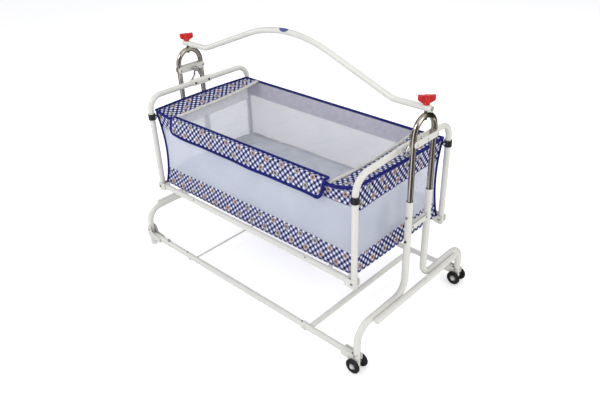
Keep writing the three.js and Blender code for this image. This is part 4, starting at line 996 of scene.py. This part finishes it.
def wall_point(one, two, s, t, slack, phase):
    """A wall between two corner seams: straight between them, drawn in at the middle of its height and a little
    slack, with soft upright folds that fade towards the seams, the rim and the hem."""
    a, b = corner_line(*one, t), corner_line(*two, t)
    point = a + (b - a) * s[..., None]
    inward = np.cross(Z, unit(b - a))
    inward = inward * np.sign((inward[..., :2] * -point[..., :2]).sum(-1))[..., None]
    fade = np.sin(np.pi * s) ** 0.6 * np.sin(np.pi * np.clip(t, 0, 1))
    folds = 0.9 * np.sin(s * 23 + phase + 1.5 * np.sin(t * 3)) + 0.6 * np.sin(s * 41 - phase)
    depth = slack * np.sin(np.pi * s) ** 0.5 * np.sin(np.pi * np.clip(t, 0, 1)) ** 0.8 + folds * fade
    sag = -3.0 * np.sin(np.pi * s) * (1 - t) ** 4 + rim_lift(point[..., 0], point[..., 1], t)
    return point + inward * depth[..., None] + sag[..., None] * Z


# Each wall's two corners and the shares of its height where its hem band ends and its rim band starts
WALLS = {"front": ((-1, -1), (1, -1), 0.24, 0.815), "rear": ((1, 1), (-1, 1), 0.24, 0.80),
         "left": ((-1, 1), (-1, -1), 0.19, 0.735), "right": ((1, -1), (1, 1), 0.19, 0.735)}


def wall(name, one, two, low, high):
    """One wall: a checked band at the hem, net, and a checked band at the rim; inside, the bands are plain. Its
    map is the way run along the hem by the height."""
    columns, slack = (120, 9) if name in ("front", "rear") else (64, 7)
    t = np.unique(np.concatenate([np.linspace(0, low, 10), np.linspace(low, high, 26), np.linspace(high, 1, 10)]))
    s, t = np.meshgrid(np.linspace(0, 1, columns), t)
    points = wall_point(one, two, s, t, slack, len(name) * 1.3)
    span = np.linalg.norm(corner_line(*two, np.array(0.0)) - corner_line(*one, np.array(0.0)))
    maps = np.stack([s * span * MM, t * (RIM - HEM) * MM], -1)
    middle = (t[:-1, :-1] + t[1:, 1:]) / 2
    look = np.where(middle < low, 2, np.where(middle > high, 1, 0))
    shell = Shell()
    shell.grid(points, maps, look)
    # The left wall's rim band is pale lining inside, where the others show the cloth's reverse: painted light that
    # lifts the shade under the left end strip
    inside = [rear_net if name == "rear" else inner_net, lining if name == "left" else reverse, lining]
    check = checked_end if name == "right" else checked
    piece = shell.build(f"cloth_wall_{name}", [wall_net, check, check, *inside], "basket", "net",
                        [f"wall_{name}"], 80, False)
    thicken(piece, WALL_THICK, 3)


for name, (one, two, low, high) in WALLS.items():
    wall(name, one, two, low, high)

# Seams: navy piping up each corner and round the rim
shell = Shell()
for sx, sy in CORNER_BOW:
    t = np.linspace(0.0, 0.985, 40)
    line = corner_line(sx, sy, t)
    line = line + rim_lift(line[:, 0], line[:, 1], t)[:, None] * Z
    normal = unit(np.array([sx, sy, 0.0]))
    tape(shell, line + normal * 1.8, normal, 9.0 if sx < 0 else 6.5, 8.0)
    tape(shell, line - normal * 2.8, normal, 4.0, 2.0, 1)
corners = [(-1, -1), (1, -1), (1, 1), (-1, 1)]
rim = []
for one, two in zip(corners, corners[1:] + corners[:1]):
    s = np.linspace(0, 1, 60)[:-1]
    rim.append(wall_point(one, two, s, np.full_like(s, 1.0), 0, 0))
rim = np.concatenate(rim)
# Outwards as an ellipse of the rim's own length and width would face
out = unit(rim * [1, 1, 0] / [CLOTH_X, CLOTH_Y, 1] ** np.array([2, 2, 1]))
tape(shell, rim + out * 1.0 + [0, 0, 1.2], out, 10.5, 7.0, loop=True, sides=16, power=0.6)
shell.build("navy_piping", [navy, inner_tape], "basket", "checked_cloth", sharp=60)

# The bassinet's floor
shell = Shell()
slab(shell, outline_box(2 * CLOTH_X - 10, 2 * CLOTH_Y - 10, 14, 8), 3, np.array([0, 0, HEM + 1.5]), X, Y, 0, 1.0)
shell.build("bassinet_base", [checked], "basket", "checked_cloth", ["bassinet_floor"])


def cover_point(u, v):
    """The cover over the rim, from u and v in -1 to 1: level with the rim and slack in the middle, with faint
    folds that run from the corners."""
    x, y = u * (CLOTH_X - 2), v * (CLOTH_Y - 2)
    slack = (1 - u ** 2) * (1 - v ** 2)
    folds = 0.8 * np.sin(7 * u + 5 * v) + 0.6 * np.sin(11 * u - 9 * v + 1)
    return np.stack([x, y, RIM + 1.6 + rim_lift(x, y) - 6.5 * slack ** 0.8 + folds * slack], -1)


# Where each checked end strip stops on the cover: places across, and how far along the cradle it is at each
STRIP_EDGE = {-1: ([-227, -176, -56, 80, 172, 227], [-372, -375, -377, -382, -392, -402]),
              1: ([-227, -209, -52, 158, 227], [366, 367, 386, 377, 372])}


def smooth_edge(end, v):
    """The strip's edge as one smooth curve: a cubic fitted to nine points of its measured line."""
    at = np.linspace(-1, 1, 9)
    return np.polyval(np.polyfit(at, np.interp(at * CLOTH_Y, *STRIP_EDGE[end]), 3), v)


# Columns of points lie at stops: 0 to 1 on the left strip, 1 to 2 on the net and 2 to 3 on the right strip
v = np.linspace(-1, 1, 50)
left, right = (smooth_edge(end, v) / (CLOTH_X - 2) for _, end in ENDS)
stops = np.concatenate([np.linspace(0, 1, 12)[:-1], 1 + np.linspace(0, 1, 80)[:-1], 2 + np.linspace(0, 1, 12)])
u = np.array([np.interp(stops, [0, 1, 2, 3], [-1, a, b, 1]) for a, b in zip(left, right)])
across = np.repeat(v[:, None], len(stops), 1)
points = cover_point(u, across)
maps = np.stack([u * CLOTH_X * MM, across * CLOTH_Y * MM], -1)
middle = np.broadcast_to((stops[:-1] + stops[1:]) / 2, (len(v) - 1, len(stops) - 1))
shell = Shell()
shell.grid(points, maps, ((middle < 1) | (middle > 2)).astype(int))
cover = shell.build("sheer_cover", [cover_net, checked_end, cover_net, reverse], "basket", "net", ["net_cover"],
                    80, False)
thicken(cover, COVER_THICK, 2)

# An elastic covers the edge of each checked strip; the right one narrows behind the frame's top
shell = Shell()
for _, end in ENDS:
    v = np.linspace(-0.985, 0.985, 60)
    wide = ELASTIC if end < 0 else 9 + 9 * np.clip(-v, 0, 1) ** 1.5
    line = cover_point((smooth_edge(end, v) - (0 if end < 0 else (ELASTIC - wide) / 2)) / (CLOTH_X - 2), v)
    tape(shell, line + [0, 0, 2.0], Z, wide, 6.5)
shell.build("elastic_edges", [elastic], "basket", "net", sharp=60)


def flap_point(x, run):
    """The flap at x along its hinge and run down from it: level over the rim, round the edge, then down and
    flaring out, with shallow ripples along its hem."""
    flat, bend = 8.5, 4.0
    turn = np.clip((run - flat) / (bend * np.pi / 2), 0, 1) * np.pi / 2
    drop = np.clip(run - flat - bend * np.pi / 2, 0, None)
    ripple = (drop / 60) ** 1.5 * (2.0 * np.sin(x / 61.0 + 0.6) + 1.0 * np.sin(x / 27.0))
    flare = 3.5 * (drop / 60) ** 1.3 + ripple + 1.5 * np.sin(np.pi * np.clip(drop / 60, 0, 1))
    y = FLAP_Y - np.clip(run, 0, flat) - bend * np.sin(turn) - np.clip(flare, -0.2, None)
    z = FLAP_Z + 1.5 + bend * np.cos(turn) - bend - drop
    lean = 0.1 * np.clip(-x / 300 - 0.2, 0, 1) + 0.2 * np.clip((x - 260) / 100, 0, 1)
    return np.stack([x - lean * drop, y, z], -1)


def flap_reach(x):
    """How far down the flap goes at x: less at its left end, more at its right, and its lower corners are round."""
    reach = FLAP_RUN - 7 * np.exp((FLAP_LEFT - x) / 60) + 5 * np.exp((x - FLAP_RIGHT) / 120)
    for into, radius in ((FLAP_LEFT + LEFT_ROUND - x, LEFT_ROUND), (x - FLAP_RIGHT + RIGHT_ROUND, RIGHT_ROUND)):
        reach = reach - radius + np.sqrt(np.maximum(radius ** 2 - np.clip(into, 0, radius) ** 2, 0))
    return reach


# The flap's columns lie close together round its two lower corners
a = np.linspace(0, np.pi / 2, 14)
x = np.concatenate([FLAP_LEFT + LEFT_ROUND - LEFT_ROUND * np.cos(a),
                    np.linspace(FLAP_LEFT + LEFT_ROUND, FLAP_RIGHT - RIGHT_ROUND, 130)[1:-1],
                    FLAP_RIGHT - RIGHT_ROUND + RIGHT_ROUND * np.sin(a)])
columns = np.repeat(x[None], 34, 0)
run = np.linspace(0, 1, 34)[:, None] * flap_reach(columns)
shell = Shell()
shell.grid(flap_point(columns, run)[::-1], np.stack([columns * MM, -run * MM], -1)[::-1], 0)
flap = shell.build("cloth_flap", [checked, reverse], "flap", "checked_cloth", ["front_flap"], 80, False)
thicken(flap, FLAP_THICK, 1)

# The flap's binding runs down one side of it, along its hem and up the other, turned to the flap's normal, which
# is the cross product of its small steps along the hinge and down from it
ends = [flap_reach(np.array([k]))[0] for k in (FLAP_LEFT, FLAP_RIGHT)]
edge_x = np.concatenate([np.full(15, FLAP_LEFT), x, np.full(15, FLAP_RIGHT)])
edge_run = np.concatenate([np.linspace(0, ends[0], 16)[:-1], flap_reach(x), np.linspace(ends[1], 0, 16)[1:]])
line = flap_point(edge_x, edge_run)
small = 0.5
du = flap_point(edge_x + small, edge_run) - flap_point(edge_x - small, edge_run)
dv = flap_point(edge_x, edge_run + small) - flap_point(edge_x, np.maximum(edge_run - small, 0))
normal = unit(np.cross(du, dv))
normal *= np.sign((normal * [0, -1, 0.4]).sum(1, keepdims=True))
shell = Shell()
tape(shell, line - normal * 0.6, normal, BINDING, 5.0, sides=14, power=0.7)
shell.build("flap_binding", [navy], "flap", "checked_cloth", sharp=60)

# The strip behind the hinge is sewn to the cover, and its own binding meets the flap's at both ends
back, level = FLAP_Y + HINGE_STRIP, FLAP_Z + 0.9
line = bent([(FLAP_LEFT, FLAP_Y, level), (FLAP_LEFT, back, level), (FLAP_RIGHT, back, level),
             (FLAP_RIGHT, FLAP_Y, level)], [5, 5], 15)
line = np.concatenate([line[:-8], np.linspace(line[-8], line[-7], 60)[1:-1], line[-7:]])
shell = Shell()
tape(shell, line, Z, BINDING, 5.4, sides=14, power=0.7)
columns, rows = np.meshgrid(np.linspace(FLAP_LEFT, FLAP_RIGHT, 130), np.linspace(FLAP_Y - 0.4, back, 5))
strip = np.stack([columns, rows, np.full_like(columns, FLAP_Z + 1.5)], -1)
under = strip[::-1] - [0, 0, 2.2]
shell.grid(np.concatenate([strip, under, strip[:1]]), None, 1)
shell.build("flap_seam", [navy, checked], "basket", "checked_cloth", sharp=60)


def mattress_shell():
    """The mattress: rings that follow a round-cornered outline, drawn in above and below, under a crown that is
    slightly quilted into wide waves. Its rear edge is fuller, out and up, but for its left end."""
    corners = outline_box(2 * MATTRESS_X, 2 * MATTRESS_Y, 40, 10)
    corners = np.concatenate([corners, corners[:1]])
    reach = along(corners)
    stations = np.union1d(reach, np.linspace(0, reach[-1], 90))[:-1]
    outline = np.column_stack([np.interp(stations, reach, corners[:, k]) for k in (0, 1)])
    rings, levels = [], []
    side = MATTRESS_TALL + 2
    for share, inset in ((0, 12), (0.05, 5), (0.14, 1.5), (0.3, 0), (0.7, 0), (0.86, 1.5), (0.95, 5), (1.0, 10)):
        rings.append(outline * (1 - inset / np.array([MATTRESS_X, MATTRESS_Y])))
        levels.append(np.full(len(outline), side * share))
    edge = rings[-1]
    for size, rise in ((0.94, 0.3), (0.86, 0.5), (0.75, 0.7), (0.6, 0.86), (0.45, 0.95), (0.3, 0.99), (0.15, 1)):
        ring = edge * size
        wave = 1.6 * np.sin(ring[:, 0] / 38) * np.sin(ring[:, 1] / 38 + 1) * (1 - size ** 6)
        rings.append(ring)
        levels.append(side + 6 * rise + wave - 1.5)
    rings.append(np.zeros_like(outline))
    levels.append(np.full(len(outline), side + 4.8))
    rings.insert(0, np.zeros_like(outline))
    levels.insert(0, np.zeros(len(outline)))
    points = np.stack([np.column_stack([r, MATTRESS_Z + z]) for r, z in zip(rings, levels)])
    points = np.concatenate([points, points[:, :1]], 1)
    onward = np.clip((points[..., 0] + 330) / 150, 0, 1)
    fuller = np.clip(points[..., 1] / MATTRESS_Y, 0, 1) ** 2 * onward ** 2 * (3 - 2 * onward)
    height = np.clip((points[..., 2] - MATTRESS_Z) / side, 0, 1)
    return points + fuller[..., None] * np.stack([0 * height, 8.5 * np.clip(height / 0.3, 0, 1), 9 * height ** 2], -1)


points = mattress_shell()
shell = Shell()
shell.grid(points, points[..., :2] * MM)
mattress = shell.build("mattress_pad", [ticking], "basket", "mattress_cloth", ["mattress"], 80)


# ---------------------------------------------------------------- studio
LENS_PX, VIEW_WIDE, SENSOR = 611.3, 600, 36
AZIMUTH, ELEVATION, ROLL = 44.21, 30.05, -2.2
CAMERA_PLACE = (1.38676, -1.39049, 1.41116)
FLOOR = 9
azimuth, elevation, roll = (math.radians(k) for k in (AZIMUTH, ELEVATION, ROLL))
toward = (math.sin(azimuth), -math.cos(azimuth), 0)
back = Vector((toward[0] * math.cos(elevation), toward[1] * math.cos(elevation), math.sin(elevation)))
level = Vector((math.cos(azimuth), math.sin(azimuth), 0))
above = back.cross(level)
across = level * math.cos(roll) + above * math.sin(roll)
up = above * math.cos(roll) - level * math.sin(roll)
camera = bpy.data.objects.new("camera", bpy.data.cameras.new("camera"))
camera.data.sensor_width = SENSOR
camera.data.lens = LENS_PX / VIEW_WIDE * SENSOR
camera.matrix_world = Matrix((*((across[k], up[k], back[k], CAMERA_PLACE[k]) for k in range(3)), (0, 0, 0, 1)))
bpy.context.scene.collection.objects.link(camera)
bpy.context.scene.camera = camera


def floor_fill(g):
    """Two near whites in slow patches."""
    place = g.node("ShaderNodeTexCoord").outputs["Object"]
    return {"Base Color": g.mix(g.noise(place, 3.0), (0.93, 0.93, 0.93, 1), (0.95, 0.95, 0.95, 1))}


# The floor is pale, and bright metal sees the room's panels in its stead
floor_finish = material("studio_floor", floor_fill, 0.6, 0.0,
                        {"Emission Color": (1, 1, 1, 1), "Emission Strength": 0.34})
g = Graph(floor_finish.node_tree)
seen = g.node("ShaderNodeMixShader", {0: g.node("ShaderNodeLightPath").outputs["Is Glossy Ray"],
                                      1: floor_finish.node_tree.nodes["Principled BSDF"].outputs[0],
                                      2: g.node("ShaderNodeBsdfTransparent").outputs[0]})
floor_finish.node_tree.links.new(seen.outputs[0], floor_finish.node_tree.nodes["Material Output"].inputs[0])
mesh = bpy.data.meshes.new("studio_floor")
mesh.from_pydata([(-FLOOR, -FLOOR, 0), (FLOOR, -FLOOR, 0), (FLOOR, FLOOR, 0), (-FLOOR, FLOOR, 0)], [],
                 [(0, 1, 2, 3)])
mesh.materials.append(floor_finish)
floor = bpy.data.objects.new("studio_floor", mesh)
bpy.context.scene.collection.objects.link(floor)
floor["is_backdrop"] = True

# The room: plain white to look at and to light the cloth, and dark with tall light panels where metal mirrors it
world = bpy.data.worlds.new("studio")
world.use_nodes = True
g = Graph(world.node_tree)
way = g.node("ShaderNodeTexCoord").outputs["Generated"]
sideways = g.node("ShaderNodeVectorMath", {0: way, 1: tuple(level)}, operation="DOT_PRODUCT").outputs["Value"]
forward = g.node("ShaderNodeVectorMath", {0: way, 1: toward}, operation="DOT_PRODUCT").outputs["Value"]
height = g.parts(way)[2]
angle = g.maths("ARCTAN2", sideways, forward)


def panel(centre, half, colour, under):
    """Over the room so far, a light panel about the bearing centre, half as many degrees to each side, whose
    edges fade over 12 degrees."""
    away = g.maths("ABSOLUTE", g.maths("SUBTRACT", angle, math.radians(centre)))
    return g.mix(g.between(away, math.radians(half + 6), math.radians(half - 6)), under, (*colour, 1))


room = panel(0, 100, (0.12, 0.112, 0.103), (0.030, 0.028, 0.026, 1))
room = panel(75, 15, (0.85, 0.82, 0.77), room)
room = panel(-44, 9, (2.2, 2.2, 2.2), room)
room = g.mix(g.between(height, 0.55, 0.9), room, (0.9, 0.9, 0.9, 1))
light_path = g.node("ShaderNodeLightPath")
plain_room = g.mix(light_path.outputs["Is Camera Ray"], (0.68, 0.685, 0.70, 1), (1.0, 1.0, 1.0, 1))
room = g.mix(light_path.outputs["Is Glossy Ray"], plain_room, room)
world.node_tree.links.new(room, world.node_tree.nodes["Background"].inputs[0])
bpy.context.scene.world = world


def lamp(name, place, target, size, power, colour=(1, 1, 1)):
    """A square lamp of size metres and power watts at place, turned to its target."""
    light = bpy.data.lights.new(name, "AREA")
    light.shape, light.size, light.energy, light.color = "SQUARE", size, power, colour
    made = bpy.data.objects.new(name, light)
    made.location = place
    made.rotation_mode = "QUATERNION"
    made.rotation_quaternion = (Vector(target) - Vector(place)).to_track_quat("-Z", "Y")
    bpy.context.scene.collection.objects.link(made)


lamp("key", (-0.6, -2.8, 3.2), (0, 0, 0.4), 1.6, 42)
lamp("fill", (3.0, 0.4, 2.4), (0, 0, 0.4), 1.8, 27, (1.0, 0.965, 0.90))
lamp("side", (-2.7, -1.0, 1.5), (-0.5, -0.1, 0.35), 1.4, 9, (0.98, 0.99, 1.0))
lamp("rear", (-0.8, 3.0, 2.6), (0, 0, 0.5), 2.0, 22)
bpy.context.scene.view_settings.view_transform = "Standard"

low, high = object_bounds()
